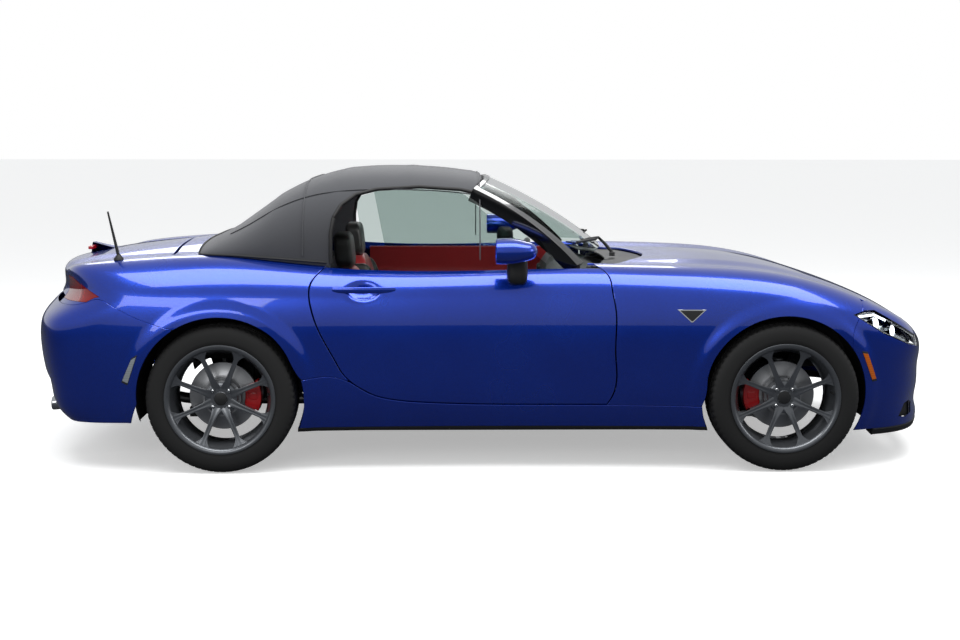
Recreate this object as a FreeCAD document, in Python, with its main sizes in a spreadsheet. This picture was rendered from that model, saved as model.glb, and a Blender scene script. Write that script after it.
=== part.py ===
import FreeCAD, Part
import bisect
import math
import os

# A small two-seat roadster with its fabric top up, standing on its four wheels.
# Millimetres. +X points forward, +Y to the car's left, +Z up. The origin is on the
# ground, half way along the car and across it.

doc = FreeCAD.newDocument("convertible_car")
V = FreeCAD.Vector
X, Y, Z = V(1, 0, 0), V(0, 1, 0), V(0, 0, 1)

# Driving dimensions: alias, value, what it measures.
SIZES = (
    ("car_length", 3915, "overall length"),
    ("car_width", 1735, "width over the rear haunches, without the mirrors"),
    ("roof_height", 1235, "height to the crown of the soft top"),
    ("wheelbase", 2310, "front axle to rear axle"),
    ("front_overhang", 729, "nose to front axle"),
    ("front_track", 1495, "between the front tyres' middle planes"),
    ("rear_track", 1505, "between the rear tyres' middle planes"),
    ("tyre_diameter", 616, "outside diameter of a tyre"),
    ("tyre_width", 205, "section width of a tyre"),
    ("rim_diameter", 436, "bead seat diameter of a rim"),
    ("rim_flange", 464, "diameter over the rim's flanges"),
    ("rim_width", 200, "width over the rim's flanges"),
    ("wheel_offset", 45, "mounting face outboard of the rim's middle plane"),
    ("arch_radius", 340, "wheel arch lip about the hub"),
    ("flare_radius", 392, "crease above the wheel arch about the hub"),
    ("flare_depth", 9, "how far the arch lip swells outboard"),
    ("sill_bottom", 180, "lower edge of the painted sill"),
    ("skirt_depth", 16, "black strip below the sill"),
    ("floor_bottom", 150, "underside of the floor"),
    ("floor_thickness", 24, "floor pan with its ribs"),
    ("skin_thickness", 14, "fenders and quarters with their flanges"),
    ("bumper_thickness", 22, "bumper covers"),
    ("door_thickness", 96, "whole door, skin to trim"),
    ("lid_thickness", 20, "bonnet and boot lid with their frames"),
    ("shut_gap", 5, "gap round doors and lids"),
    ("lid_swing", 9, "extra room ahead of the boot lid's front edge"),
    ("seam_gap", 0.4, "gap between fixed panels"),
    ("seat_gap", 0.3, "clearance of a seated piece"),
    ("fabric_thickness", 16, "soft top with its bows"),
    ("glass_thickness", 5, "windscreen and windows"),
    ("disc_diameter", 280, "brake disc"),
    ("disc_thickness", 22, "brake disc's friction ring"),
    ("stud_circle", 100, "circle of the wheel nuts"),
    ("spoke_count", 8, "spokes in a rim"),
    ("nut_count", 4, "wheel nuts"),
    ("kingpin_inset", 66, "steering axis inboard of the tyre's middle plane"),
    ("hinge_setback", 55, "door hinge axis behind the door's front edge"),
    ("boot_half_width", 548, "middle to the boot lid's side shut-line"),
    ("spindle_radius", 30, "hub spindle"),
    ("pin_radius", 4, "hinge pins"),
    ("seat_width", 430, "seat cushion with its bolsters"),
    ("steering_wheel_diameter", 366, "steering wheel"),
    ("exhaust_diameter", 60, "tail pipe"),
    ("antenna_length", 195, "antenna mast"),
    ("mouth_width", 860, "grille mouth at its widest"),
    ("seat_place", 336, "middle to a seat's middle"),
    ("engine_length", 586, "engine block"),
    ("engine_width", 420, "engine block"),
    ("engine_height", 430, "engine block"),
    ("tip_spacing", 76, "between the two exhaust tips"),
)
sheet = doc.addObject("Spreadsheet::Sheet", "sizes")
for row, (alias, value, note) in enumerate(SIZES, start=1):
    sheet.set("A%d" % row, note)
    sheet.set("B%d" % row, str(value))
    sheet.setAlias("B%d" % row, alias)
doc.recompute()
size = {alias: float(sheet.get(alias)) for alias, value, note in SIZES}

NOSE = size["car_length"] / 2
TAIL = -size["car_length"] / 2
FRONT_AXLE = NOSE - size["front_overhang"]
REAR_AXLE = FRONT_AXLE - size["wheelbase"]
HUB_HEIGHT = size["tyre_diameter"] / 2
SHUT = size["shut_gap"] / 2
SEAM = size["seam_gap"] / 2
COWL = FRONT_AXLE - 496
DOOR_FRONT = FRONT_AXLE - 698
DOOR_REAR = REAR_AXLE + 366
BOOT_FRONT = REAR_AXLE - 250
HALF_WIDTH = size["car_width"] / 2
WINDOW_Y = 712


class Curve:
    """A natural cubic spline through a few named stations, straight beyond its ends."""

    def __init__(self, *stations):
        self.at = [s[0] for s in stations]
        self.value = [float(s[1]) for s in stations]
        count = len(stations)
        bend = [0.0] * count
        work = [0.0] * count
        for i in range(1, count - 1):
            before = self.at[i] - self.at[i - 1]
            after = self.at[i + 1] - self.at[i]
            share = before / (before + after)
            pivot = share * bend[i - 1] + 2
            bend[i] = (share - 1) / pivot
            rise = (self.value[i + 1] - self.value[i]) / after
            rise -= (self.value[i] - self.value[i - 1]) / before
            work[i] = (6 * rise / (before + after) - share * work[i - 1]) / pivot
        for i in range(count - 2, -1, -1):
            bend[i] = bend[i] * bend[i + 1] + work[i]
        self.bend = bend

    def slope(self, i, j):
        step = self.at[j] - self.at[i]
        lean = (2 * self.bend[i] + self.bend[j]) * step / 6
        return (self.value[j] - self.value[i]) / step - lean

    def __call__(self, place):
        at, value, bend = self.at, self.value, self.bend
        if place <= at[0]:
            return value[0] + self.slope(0, 1) * (place - at[0])
        if place >= at[-1]:
            return value[-1] + self.slope(len(at) - 1, len(at) - 2) * (place - at[-1])
        i = bisect.bisect_right(at, place) - 1
        step = at[i + 1] - at[i]
        a = (at[i + 1] - place) / step
        b = 1 - a
        curved = (a ** 3 - a) * bend[i] + (b ** 3 - b) * bend[i + 1]
        return a * value[i] + b * value[i + 1] + curved * step * step / 6


def smooth_max(a, b, reach):
    """The larger of two values, rounded where they come within the reach of each other."""
    near = max(reach - abs(a - b), 0) / reach
    return max(a, b) + near ** 3 * reach / 6


def smooth_step(t):
    t = min(max(t, 0), 1)
    return t * t * (3 - 2 * t)


def mix(a, b, t):
    return a + (b - a) * t


# The body's outer skin is where the largest of four smooth walls is zero: the side,
# the top, the nose and the tail. Each wall is a curve through a few stations.
plan = Curve(
    (TAIL, 585), (TAIL + 110, 742), (TAIL + 260, 805), (TAIL + 460, 848), (REAR_AXLE, HALF_WIDTH),
    (REAR_AXLE + 380, 846), (REAR_AXLE + 780, 827), (DOOR_FRONT - 430, 822), (DOOR_FRONT, 830),
    (FRONT_AXLE - 330, 842), (FRONT_AXLE, 849), (FRONT_AXLE + 270, 830), (NOSE - 300, 785),
    (NOSE - 160, 718), (NOSE - 60, 640), (NOSE, 580))
inset = Curve((130, 78), (180, 58), (280, 26), (400, 8), (520, 0), (640, 4), (740, 22), (800, 46),
              (850, 80), (900, 125), (960, 190))
centre_line = Curve(
    (TAIL, 752), (TAIL + 60, 808), (TAIL + 110, 826), (TAIL + 300, 863), (TAIL + 580, 898),
    (REAR_AXLE - 115, 918), (REAR_AXLE + 180, 900), (REAR_AXLE + 440, 862), (REAR_AXLE + 980, 840),
    (COWL - 350, 838), (COWL, 833), (FRONT_AXLE - 330, 838), (FRONT_AXLE - 130, 830),
    (FRONT_AXLE + 70, 800), (FRONT_AXLE + 270, 744), (NOSE - 257, 667), (NOSE - 102, 585), (NOSE, 508))
crest_line = Curve(
    (TAIL, 730), (TAIL + 110, 797), (TAIL + 210, 830), (TAIL + 335, 852), (TAIL + 540, 871),
    (REAR_AXLE - 80, 882), (REAR_AXLE + 180, 869), (REAR_AXLE + 440, 846), (REAR_AXLE + 980, 833),
    (DOOR_FRONT - 140, 842), (DOOR_FRONT + 120, 838), (FRONT_AXLE - 250, 828),
    (FRONT_AXLE - 15, 806), (FRONT_AXLE + 190, 760), (FRONT_AXLE + 370, 694), (NOSE - 157, 590),
    (NOSE, 490))
CREST_Y = HALF_WIDTH - 248
nose_inset = Curve((140, 10), (184, 3), (229, 13), (319, 7), (409, 6), (454, 0), (500, 3), (580, 28))
tail_inset = Curve((150, 150), (228, 58), (318, 30), (408, 12), (500, 0), (586, 3), (631, 20),
                   (675, 56), (719, 82), (770, 84), (830, 70))


def flare(x, z):
    """How far the wheel arches swell outboard at a place on the side."""
    swell = 0
    for axle in (FRONT_AXLE, REAR_AXLE):
        reach = math.hypot(x - axle, z - HUB_HEIGHT)
        swell += size["flare_depth"] * smooth_step((size["flare_radius"] + 22 - reach) / 50)
    return swell


def top_height(x, y):
    """The top wall: a centre line, a crest over each row of wheels and a shallow valley."""
    across = y / CREST_Y
    if across < 1:
        height = mix(centre_line(x), crest_line(x), smooth_step(across))
        return height - 11 * math.sin(math.pi * min(max((across - 0.45) / 0.55, 0), 1)) ** 2
    return crest_line(x) - 130 * ((y - CREST_Y) / 250) ** 2.5


def body_wall(x, y, z):
    y = abs(y)
    side = y - plan(x) + inset(z) - flare(x, z)
    nose = x - NOSE + nose_inset(z) + 0.0003 * y * y
    tail_round = 0.00025 + 0.00015 * smooth_step((z - 600) / 150)
    tail = TAIL + tail_inset(z) + tail_round * y * y - x
    ring = smooth_max(side, max(nose, tail), 200)
    return smooth_max(ring, z - top_height(x, y), 70)


def cabin_half_width(z):
    return side_glass_line(z)


side_glass_line = Curve((780, 720), (840, 709), (1000, 671), (1100, 637), (1165, 606), (1220, 572))
roof_line = Curve(
    (REAR_AXLE - 115, 926), (REAR_AXLE - 32, 966), (REAR_AXLE + 108, 1055), (REAR_AXLE + 200, 1122),
    (REAR_AXLE + 292, 1172), (REAR_AXLE + 384, 1205), (REAR_AXLE + 520, size["roof_height"] - 6),
    (REAR_AXLE + 704, size["roof_height"]), (COWL - 970, size["roof_height"] - 5),
    (COWL - 790, size["roof_height"] - 26), (COWL - 740, size["roof_height"] - 36))
roof_plan = Curve((REAR_AXLE - 115, 596), (REAR_AXLE - 84, 646), (REAR_AXLE - 20, 674), (REAR_AXLE + 140, 697),
                  (REAR_AXLE + 320, 708), (REAR_AXLE + 800, 712), (COWL - 740, 700))


def hit(wall, origin, way, near=0.0, far=1400.0):
    """Where a ray from inside meets a wall, by halving."""
    for halving in range(34):
        middle = (near + far) / 2
        spot = origin + way * middle
        if wall(spot.x, spot.y, spot.z) > 0:
            far = middle
        else:
            near = middle
    return origin + way * near


def under_roof(x):
    """The bodywork's height just inside the soft top's lower edge, where the fabric rests."""
    return hit(body_wall, V(x, roof_plan(x) - 18, 380), Z).z + 10 * size["seat_gap"]


roof_foot = Curve(*[(x, under_roof(x)) for x in (
    REAR_AXLE - 115, REAR_AXLE - 60, REAR_AXLE + 40, REAR_AXLE + 200, DOOR_REAR + 79, DOOR_REAR + 300, COWL - 740)])


def roof_wall(x, y, z):
    """The soft top's skin: in each section an oval with full shoulders, zero on the skin."""
    foot = roof_foot(x)
    rise = max(z - foot, 0) / (roof_line(x) - foot)
    full = smooth_step((x - REAR_AXLE + 115) / 500)
    return (abs(y) / roof_plan(x)) ** mix(3.2, 5, full) + rise ** mix(2.0, 2.5, full) - 1


def outward(wall, p):
    """The wall's outward normal, by differences."""
    step = 1.0
    n = V(wall(p.x + step, p.y, p.z) - wall(p.x - step, p.y, p.z),
          wall(p.x, p.y + step, p.z) - wall(p.x, p.y - step, p.z),
          wall(p.x, p.y, p.z + step) - wall(p.x, p.y, p.z - step))
    return n.normalize()


def through(points):
    """A cubic spline through points, evenly timed."""
    curve = Part.BSplineCurve()
    curve.interpolate(Points=points, Parameters=[float(i) for i in range(len(points))])
    return curve


def skin(grid):
    """A smooth surface through a grid of points: splines along its rows, then across them."""
    rows = [through(row) for row in grid]
    along = [row.getPoles() for row in rows]
    columns = [through([poles[k] for poles in along]) for k in range(len(along[0]))]
    across = [column.getPoles() for column in columns]
    poles = [[column[i] for column in across] for i in range(len(across[0]))]
    surface = Part.BSplineSurface()
    surface.buildFromPolesMultsKnots(
        poles, columns[0].getMultiplicities(), rows[0].getMultiplicities(),
        columns[0].getKnots(), rows[0].getKnots(), False, False, 3, 3)
    return surface


def thick(outer, inner):
    """A closed solid between two grids of points, each made one smooth surface."""
    a, b = skin(outer), skin(inner)
    u0, u1, v0, v1 = a.bounds()
    faces = [a.toShape(), b.toShape()]
    for one, other in ((a.uIso(u0), b.uIso(u0)), (a.uIso(u1), b.uIso(u1)),
                       (a.vIso(v0), b.vIso(v0)), (a.vIso(v1), b.vIso(v1))):
        faces.append(Part.makeRuledSurface(one.toShape(), other.toShape()))
    shell = Part.makeShell(faces)
    shell.sewShape()
    solid = Part.makeSolid(shell)
    if solid.Volume < 0:
        solid.reverse()
    return solid


def shares(count):
    return [i / (count - 1) for i in range(count)]


def panel(wall, place, across, along, depth, lift=0.0):
    """A panel as thick as given, on the wall where place(u, v) says."""
    outer, inner = [], []
    for u in shares(across):
        spots = [place(u, v) for v in shares(along)]
        normals = [outward(wall, p) for p in spots]
        outer.append([p + n * lift for p, n in zip(spots, normals)])
        inner.append([p - n * depth for p, n in zip(spots, normals)])
    return thick(outer, inner)


def shrunk(points, by):
    """An outline drawn in along the bisectors of its corners, so that a piece clears the hole it sits in."""
    ahead = points[1:] + points[:1]
    area = sum(x * z1 - x1 * z for (x, z), (x1, z1) in zip(points, ahead))
    turn = math.copysign(1, area)
    ways = [math.atan2(z1 - z, x1 - x) for (x, z), (x1, z1) in zip(points, ahead)]
    result = []
    for k, (x, z) in enumerate(points):
        before, after = ways[k - 1], ways[k]
        share = turn * by / (1 + math.cos(after - before))
        result.append((x - (math.sin(before) + math.sin(after)) * share,
                       z + (math.cos(before) + math.cos(after)) * share))
    return result


def on_side(x, z):
    return hit(body_wall, V(x, 0, z), Y)


def on_top(x, y):
    return hit(body_wall, V(x, y, 380), Z)


def other_side(shape):
    return shape.mirror(V(0, 0, 0), Y)


def keep(label, shape, placement=FreeCAD.Placement()):
    """A Part::Feature that holds one finished sub-part."""
    feature = doc.addObject("Part::Feature", label)
    feature.Label = label
    feature.Shape = shape
    feature.Placement = placement
    return feature


def pair(label, shape):
    keep(label + "_left", shape)
    keep(label + "_right", other_side(shape))


def both(shape):
    return Part.makeCompound([shape, other_side(shape)])


def block(x0, x1, y0, y1, z0, z1):
    return Part.makeBox(x1 - x0, y1 - y0, z1 - z0, V(x0, y0, z0))


def rod(start, end, radius):
    way = end - start
    return Part.makeCylinder(radius, way.Length, start, way)


def prism_x(points, x0, x1):
    """A straight block along X over an outline in Y and Z."""
    face = Part.Face(Part.makePolygon([V(x0, y, z) for y, z in points + points[:1]]))
    return face.extrude(V(x1 - x0, 0, 0))


def turned(points, centre_x, centre_z):
    """A ring about an axle: radius and Y pairs carried once round."""
    wire = Part.makePolygon([V(centre_x + r, y, centre_z) for r, y in points + points[:1]])
    return Part.Face(wire).revolve(V(centre_x, 0, centre_z), Y, 360)


# Shut-lines, as seen from the side or from above.
door_front_line = Curve((273, DOOR_FRONT - 34), (290, DOOR_FRONT - 22), (493, DOOR_FRONT), (670, DOOR_FRONT),
                        (768, DOOR_FRONT - 16), (830, DOOR_FRONT - 53), (850, DOOR_FRONT - 95))
door_rear_line = Curve((312, DOOR_REAR + 275), (375, DOOR_REAR + 168), (457, DOOR_REAR + 107),
                       (596, DOOR_REAR + 35), (720, DOOR_REAR), (795, DOOR_REAR + 13), (860, DOOR_REAR + 86))
sill_top_line = Curve((REAR_AXLE + 340, 389), (DOOR_REAR + 150, 380), (DOOR_REAR + 230, 331),
                      (DOOR_REAR + 330, 299), (DOOR_REAR + 480, 284), (DOOR_FRONT, 274),
                      (FRONT_AXLE - 350, 269))
bonnet_side_line = Curve((COWL - 300, 604), (COWL + 60, 612), (FRONT_AXLE, 600), (FRONT_AXLE + 220, 572),
                         (NOSE - 357, 522), (NOSE - 207, 450))


def bonnet_rear(y):
    return COWL - 0.00084 * y * y


def bonnet_front(y):
    return NOSE - 112 - 0.00042 * y * y


def section_ray(x, angle, turn=0.0):
    """A point on the skin, seen from inside a body section that may swing about its post."""
    origin = V(x, 400, 520)
    way = V(-math.sin(turn) * math.cos(angle), math.cos(turn) * math.cos(angle), math.sin(angle))
    return hit(body_wall, origin, way)


def angle_to(y, z):
    """The angle of a spot in a body section, seen from the section's post."""
    return math.atan2(z - 520, y - 400)


def between_lines(rear, front, low, high, u, v):
    """A point on the skin between two upright shut-lines, found in a few turns."""
    x = mix(rear(560), front(560), u)
    for turn in range(4):
        p = section_ray(x, mix(low(x), high(x), v))
        x = mix(rear(p.z), front(p.z), u)
    return section_ray(x, mix(low(x), high(x), v))


def door_place(u, v):
    """The door's skin, from its sill up over the shoulder to the window's edge."""
    return between_lines(
        lambda z: door_rear_line(z) + SHUT, lambda z: door_front_line(z) - SHUT,
        lambda x: angle_to(plan(x) - 26, sill_top_line(x) + size["shut_gap"]),
        lambda x: angle_to(WINDOW_Y, top_height(x, WINDOW_Y) - 8), u, v)


def wheel_hole(axle, radius=None, y0=0, y1=1000):
    radius = radius or size["arch_radius"]
    return Part.makeCylinder(radius, y1 - y0, V(axle, y0, HUB_HEIGHT), Y)


def fender_seam(z):
    """Where the front fender meets the bumper cover, ahead of the arch."""
    return mix(FRONT_AXLE + 271, FRONT_AXLE + 331, smooth_step((z - 560) / 150)) - SEAM


def fender_place(u, v):
    def top(x):
        y = bonnet_side_line(x) + SHUT
        return angle_to(y, top_height(x, y) - 6)
    return between_lines(
        lambda z: door_front_line(z) + SHUT, fender_seam,
        lambda x: angle_to(plan(x) - 28, sill_top_line(x) + SEAM), top, u, v)


quarter_seam = Curve((TAIL, 678), (TAIL + 200, 680), (TAIL + 330, 700), (TAIL + 392, 714), (TAIL + 430, 700),
                     (TAIL + 527, 653), (REAR_AXLE - 202, 604), (REAR_AXLE, 560), (REAR_AXLE + 300, 400),
                     (DOOR_REAR + 160, 384))
TAIL_POST = TAIL + 460
TAIL_SWING = math.radians(60)
BOOT_SIDE = size["boot_half_width"]


def quarter_top(x):
    """The quarter's upper edge from above: under the soft top, then along the boot lid."""
    return mix(668, BOOT_SIDE + SHUT, smooth_step((REAR_AXLE + 130 - x) / 230))


def quarter_low(x):
    """The quarter's lower edge: the bumper's seam, and ahead of the arch the sill's top."""
    return max(quarter_seam(x), sill_top_line(x)) if x > REAR_AXLE + 250 else quarter_seam(x)


def edge_angles(x, swing):
    """The lowest and the highest ray of a quarter section, from the seam to the lid's side."""
    low, high = 0.3, 1.0
    for turn in range(12):
        p = section_ray(x, low, swing)
        reach = math.hypot(p.x - x, p.y - 400)
        low = mix(low, math.atan2(quarter_low(p.x) + SEAM - 520, reach), 0.7)
        p = section_ray(x, high, swing)
        reach = (quarter_top(p.x) - 400) / math.cos(swing)
        high = mix(high, math.atan2(p.z - 520, reach), 0.5)
    return low, high


def edge_curves(cases):
    found = [(key, edge_angles(x, swing)) for key, x, swing in cases]
    return Curve(*[(key, ends[0]) for key, ends in found]), Curve(*[(key, ends[1]) for key, ends in found])


low_along, high_along = edge_curves(
    [(x, x, 0) for x in (mix(TAIL_POST, DOOR_REAR + 165, s / 13) for s in range(14))])
low_round, high_round = edge_curves(
    [(swing, TAIL_POST, swing) for swing in (TAIL_SWING * s / 8 for s in range(9))])


def quarter_place(u, v, drop=0.0):
    """The rear quarter: from the door along the car, then swinging round the tail's corner.

    The drop lowers its lower edge by an angle, for the room it needs.
    """
    swing = TAIL_SWING * max(u - 0.6, 0) / 0.4
    along = min(u / 0.6, 1)
    if swing > 0:
        return section_ray(TAIL_POST, mix(low_round(swing) - drop, high_round(swing), v), swing)
    x = mix(DOOR_REAR, TAIL_POST, along)
    for turn in range(4):
        p = section_ray(x, mix(low_along(x) - drop, high_along(x), v))
        x = mix(door_rear_line(p.z) - SHUT, TAIL_POST, along)
    return section_ray(x, mix(low_along(x) - drop, high_along(x), v))


def sill_place(u, v):
    x = mix(REAR_AXLE + 330, FRONT_AXLE - 330, u)
    return on_side(x, mix(size["sill_bottom"], sill_top_line(x) - size["seam_gap"], v))


def sill_room_place(u, v):
    """The sill's wall with a seam's width above it, for what stands on the sill."""
    x = mix(REAR_AXLE + 320, FRONT_AXLE - 320, u)
    return on_side(x, mix(size["sill_bottom"] - 10, sill_top_line(x) + 4.9 * size["seam_gap"], v))


def skirt_place(u, v):
    low = size["sill_bottom"] - size["skirt_depth"]
    return on_side(mix(REAR_AXLE + 368, FRONT_AXLE - 362, u), mix(low, size["sill_bottom"] - size["seam_gap"], v))


def bonnet_place(u, v):
    y = mix(-600, 600, v)
    x = mix(bonnet_rear(y), bonnet_front(y), u)
    y = mix(-1, 1, v) * (bonnet_side_line(x) - SHUT)
    x = mix(bonnet_rear(y) + SHUT, bonnet_front(y) - SHUT, u)
    return on_top(x, y)


def bonnet_room_place(u, v):
    """The bonnet's wall with its shut gap all round, for what must stay clear of it."""
    y = mix(-600, 600, v)
    x = mix(bonnet_rear(y), bonnet_front(y), u)
    y = mix(-1, 1, v) * (bonnet_side_line(x) + SHUT - size["seam_gap"])
    return on_top(mix(bonnet_rear(y) - SHUT, bonnet_front(y) + SHUT, u), y)


def nose_place(u, v):
    """The front bumper cover, on level rays that fan out round the nose to the fenders' seams."""
    fan = FRONT_AXLE + 70
    share = abs(2 * u - 1)
    corner = bonnet_side_line(fender_seam(720))
    top = Curve((0, 584), (0.45, 600), (0.72, 640), (0.9, 688), (1, top_height(fender_seam(720), corner) - 10))
    z = mix(158, top(share), v)
    end = on_side(fender_seam(z) + 4 * size["seam_gap"], mix(158, top(1), v))
    angle = math.atan2(end.y, end.x - fan) * (2 * u - 1)
    return hit(body_wall, V(fan, 0, z), V(math.cos(angle), math.sin(angle), 0))


def splitter_place(u, v):
    """The black strip below the front bumper cover."""
    angle = math.radians(66) * (2 * u - 1)
    return hit(body_wall, V(FRONT_AXLE + 70, 0, mix(131, 157.6, v)), V(math.cos(angle), math.sin(angle), 0))


def lamp_place(u, v):
    """The corner that holds a headlamp, on level rays."""
    angle = math.radians(mix(28, 84, u))
    return hit(body_wall, V(FRONT_AXLE + 200, 0, mix(455, 690, v)), V(math.cos(angle), math.sin(angle), 0))


def tail_place(u, v):
    """The rear bumper cover, on level rays that fan out round the tail, up to the quarter's seam."""
    angle = math.radians(mix(80.5, 93.5, v)) * (2 * u - 1)
    way = V(-math.cos(angle), math.sin(angle), 0)
    low = Curve((0, 196), (0.6, 190), (1, 204))
    z = 500
    for turn in range(4):
        p = hit(body_wall, V(TAIL + 640, 0, z), way)
        z = mix(low(abs(2 * u - 1)), quarter_seam(p.x) - SEAM, v)
    return hit(body_wall, V(TAIL + 640, 0, z), way)


def boot_place(u, v):
    """The boot lid: over the deck to the tail's lip, then down between the lamps."""
    half = BOOT_SIDE - SHUT
    y = mix(-half, half, v)
    if u < 0.7:
        x = mix(BOOT_FRONT - SHUT, TAIL + 150 + 0.0003 * y * y, u / 0.7)
        return on_top(x, y)
    tip = TAIL + 150 + 0.0003 * y * y
    z_tip = top_height(tip, abs(y)) - 8
    drop = (u - 0.7) / 0.3
    angle = mix(math.atan2(z_tip - 560, 420), math.atan2(686 - 560, 420), drop)
    return hit(body_wall, V(tip + 420, y, 560), V(-math.cos(angle), 0, math.sin(angle)))


def deck_place(u, v):
    """The strip between the soft top and the boot lid, clear of the lid's front edge as it swings down."""
    half = BOOT_SIDE + SHUT - 3 * size["seam_gap"]
    return on_top(mix(BOOT_FRONT + SHUT + size["lid_swing"], REAR_AXLE - 118, u), mix(-half, half, v))


def cowl_place(u, v):
    y = mix(-585, 585, v)
    return on_top(mix(screen_foot(y) + 14, bonnet_rear(y) - SHUT, u), y) - V(0, 0, 14)


def screen_foot(y):
    return COWL - 189 - 0.00038 * y * y


def screen_place(u, v):
    """The windscreen's outer face: from foot to header, bowed across and slightly up."""
    across = mix(-1, 1, v)
    half = mix(640, 580, u)
    foot = V(screen_foot(half * across), half * across, 874 - 22 * across ** 2)
    head = V(COWL - 718 - 58 * across ** 2, half * across, 1190 - 34 * across ** 2)
    bow = V(0.5, 0, 0.86) * (22 * 4 * u * (1 - u))
    return foot + (head - foot) * u + bow


def screen_panel(u0, u1, half, depth, lift, across, along):
    """A sheet on the windscreen's face, between two shares of its height."""
    outer, inner = [], []
    for u in shares(across):
        a, b = [], []
        for v in shares(along):
            at = mix(u0, u1, u)
            over = 0.5 + (v - 0.5) * half
            p = screen_place(at, over)
            du = screen_place(at + 0.01, over) - screen_place(at - 0.01, over)
            dv = screen_place(at, over + 0.01) - screen_place(at, over - 0.01)
            n = du.cross(dv).normalize()
            if n.z < 0:
                n = n * -1
            a.append(p + n * lift)
            b.append(p - n * depth)
        outer.append(a)
        inner.append(b)
    return thick(outer, inner)


def roof_place(x0, x1):
    """A patch of the soft top from foot to foot over the crown, between two stations."""
    def place(u, v):
        x = mix(x0, x1, u)
        foot = roof_foot(x)
        angle = math.pi * v
        way = V(0, roof_plan(x) * math.cos(angle), (roof_line(x) - foot) * math.sin(angle))
        if v in (0, 1):
            return V(x, way.y, foot)
        return hit(roof_wall, V(x, 0, foot), way, 0, 2)
    return place


def side_glass_place(u, v):
    x = mix(DOOR_REAR + 120, COWL - 420, u)
    z = mix(785, 1190, v)
    return V(x, side_glass_line(z) - 8, z)


def glass_sheet(depth, lift):
    outer, inner = [], []
    for u in shares(4):
        outer.append([side_glass_place(u, v) + V(0, lift, 0) for v in shares(7)])
        inner.append([side_glass_place(u, v) - V(0, depth, 0) for v in shares(7)])
    return thick(outer, inner)


def outline(points):
    """A closed wire in the XZ plane: points joined by straight runs."""
    return Part.makePolygon([V(x, 0, z) for x, z in points + points[:1]])


def through_y(points, y0, y1):
    face = Part.Face(outline(points))
    face.translate(V(0, y0, 0))
    return face.extrude(V(0, y1 - y0, 0))


TUB_SIDE = 700
WINDOW = [(DOOR_REAR + 79, 780), (DOOR_REAR + 79, 973), (DOOR_REAR + 90, 1040), (DOOR_REAR + 119, 1088),
          (DOOR_REAR + 177, 1130), (DOOR_REAR + 265, 1152), (DOOR_REAR + 445, 1162), (COWL - 834, 1150),
          (COWL - 640, 1100), (COWL - 640, 780)]
GLASS = [(DOOR_REAR + 233, 792), (DOOR_REAR + 182, 1089), (DOOR_REAR + 190, 1123), (DOOR_REAR + 265, 1144),
         (DOOR_REAR + 445, 1154), (COWL - 842, 1142), (COWL - 815, 1128), (COWL - 661, 995), (COWL - 480, 850),
         (COWL - 480, 792)]

TAIL_LAMP = [(TAIL + 366, 718), (TAIL + 392, 724), (TAIL + 240, 790), (TAIL + 20, 790), (TAIL + 20, 688),
             (TAIL + 330, 700)]
HEAD_LAMP = [(NOSE - 455, 650), (NOSE - 400, 664), (NOSE - 352, 662), (NOSE - 262, 612), (NOSE - 150, 548),
             (NOSE - 60, 505), (NOSE - 60, 470), (NOSE - 190, 512), (NOSE - 320, 568)]
PIN = size["pin_radius"]
HINGE_X = DOOR_FRONT - SHUT - size["hinge_setback"]
HINGE_Y = plan(DOOR_FRONT) - 16
DOOR_HINGES = (445, 600)
arch_front = wheel_hole(FRONT_AXLE)
arch_rear = wheel_hole(REAR_AXLE)
BONNET_PIN = V(COWL - 245, 590, on_top(COWL - 245, 602).z - 10)
BOOT_PIN = V(BOOT_FRONT - SHUT - 30, BOOT_SIDE - 20, on_top(BOOT_FRONT - 32, BOOT_SIDE).z - 10)
lamp_hole = through_y(HEAD_LAMP, 560, 900)
lamp_base = panel(body_wall, lamp_place, 12, 8, 40)
LAMP_GAP = 2 * size["seam_gap"]
keep("headlamps", both(lamp_base.common(through_y(shrunk(HEAD_LAMP, LAMP_GAP), 560 + LAMP_GAP, 900))))
sill_room = panel(body_wall, sill_room_place, 14, 5, 100, 30)
fender = panel(body_wall, fender_place, 16, 14, size["skin_thickness"]).cut([arch_front, lamp_hole, sill_room])
fender = fender.fuse(rod(BONNET_PIN, BONNET_PIN + V(0, 24, 0), PIN))
pair("fender", fender)
quarter_whole = panel(body_wall, quarter_place, 22, 14, size["skin_thickness"])
quarter = quarter_whole.cut([arch_rear, through_y(TAIL_LAMP, 480, 900), sill_room])
quarter = quarter.fuse(rod(BOOT_PIN, BOOT_PIN + V(0, 34, 0), PIN))
pair("quarter", quarter)
tail_lamp = quarter_whole.common(through_y(shrunk(TAIL_LAMP, LAMP_GAP), 480 + LAMP_GAP, 900))
keep("tail_lamps", both(tail_lamp))
inboard = block(TAIL, NOSE, 0, TUB_SIDE + 2 * size["seat_gap"], 0, 600)
keep("sills", both(panel(body_wall, sill_place, 14, 5, 150).cut([
    inboard, arch_front, arch_rear, wheel_hole(REAR_AXLE, size["arch_radius"] + 22, 0, 805),
    block(TAIL, NOSE, 0, 900, 0, size["sill_bottom"])])))
skirt = panel(body_wall, skirt_place, 14, 4, 130).cut([
    inboard, arch_front, arch_rear, block(TAIL, NOSE, 0, 900, size["sill_bottom"] - size["seam_gap"], 600)])
keep("skirts", both(skirt))
door = panel(body_wall, door_place, 12, 10, size["door_thickness"])
for z in DOOR_HINGES:
    notch = block(HINGE_X - 9, DOOR_FRONT + 30, HINGE_Y - 68, HINGE_Y + 6, z - 10, z + 10)
    bore = Part.makeCylinder(PIN + size["seat_gap"], 36, V(HINGE_X, HINGE_Y, z - 18))
    door = door.cut([notch, bore])
door_room = panel(body_wall, door_place, 12, 10, size["door_thickness"], size["seat_gap"])
slot = glass_sheet(size["glass_thickness"] + size["seat_gap"], size["seat_gap"])
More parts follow.
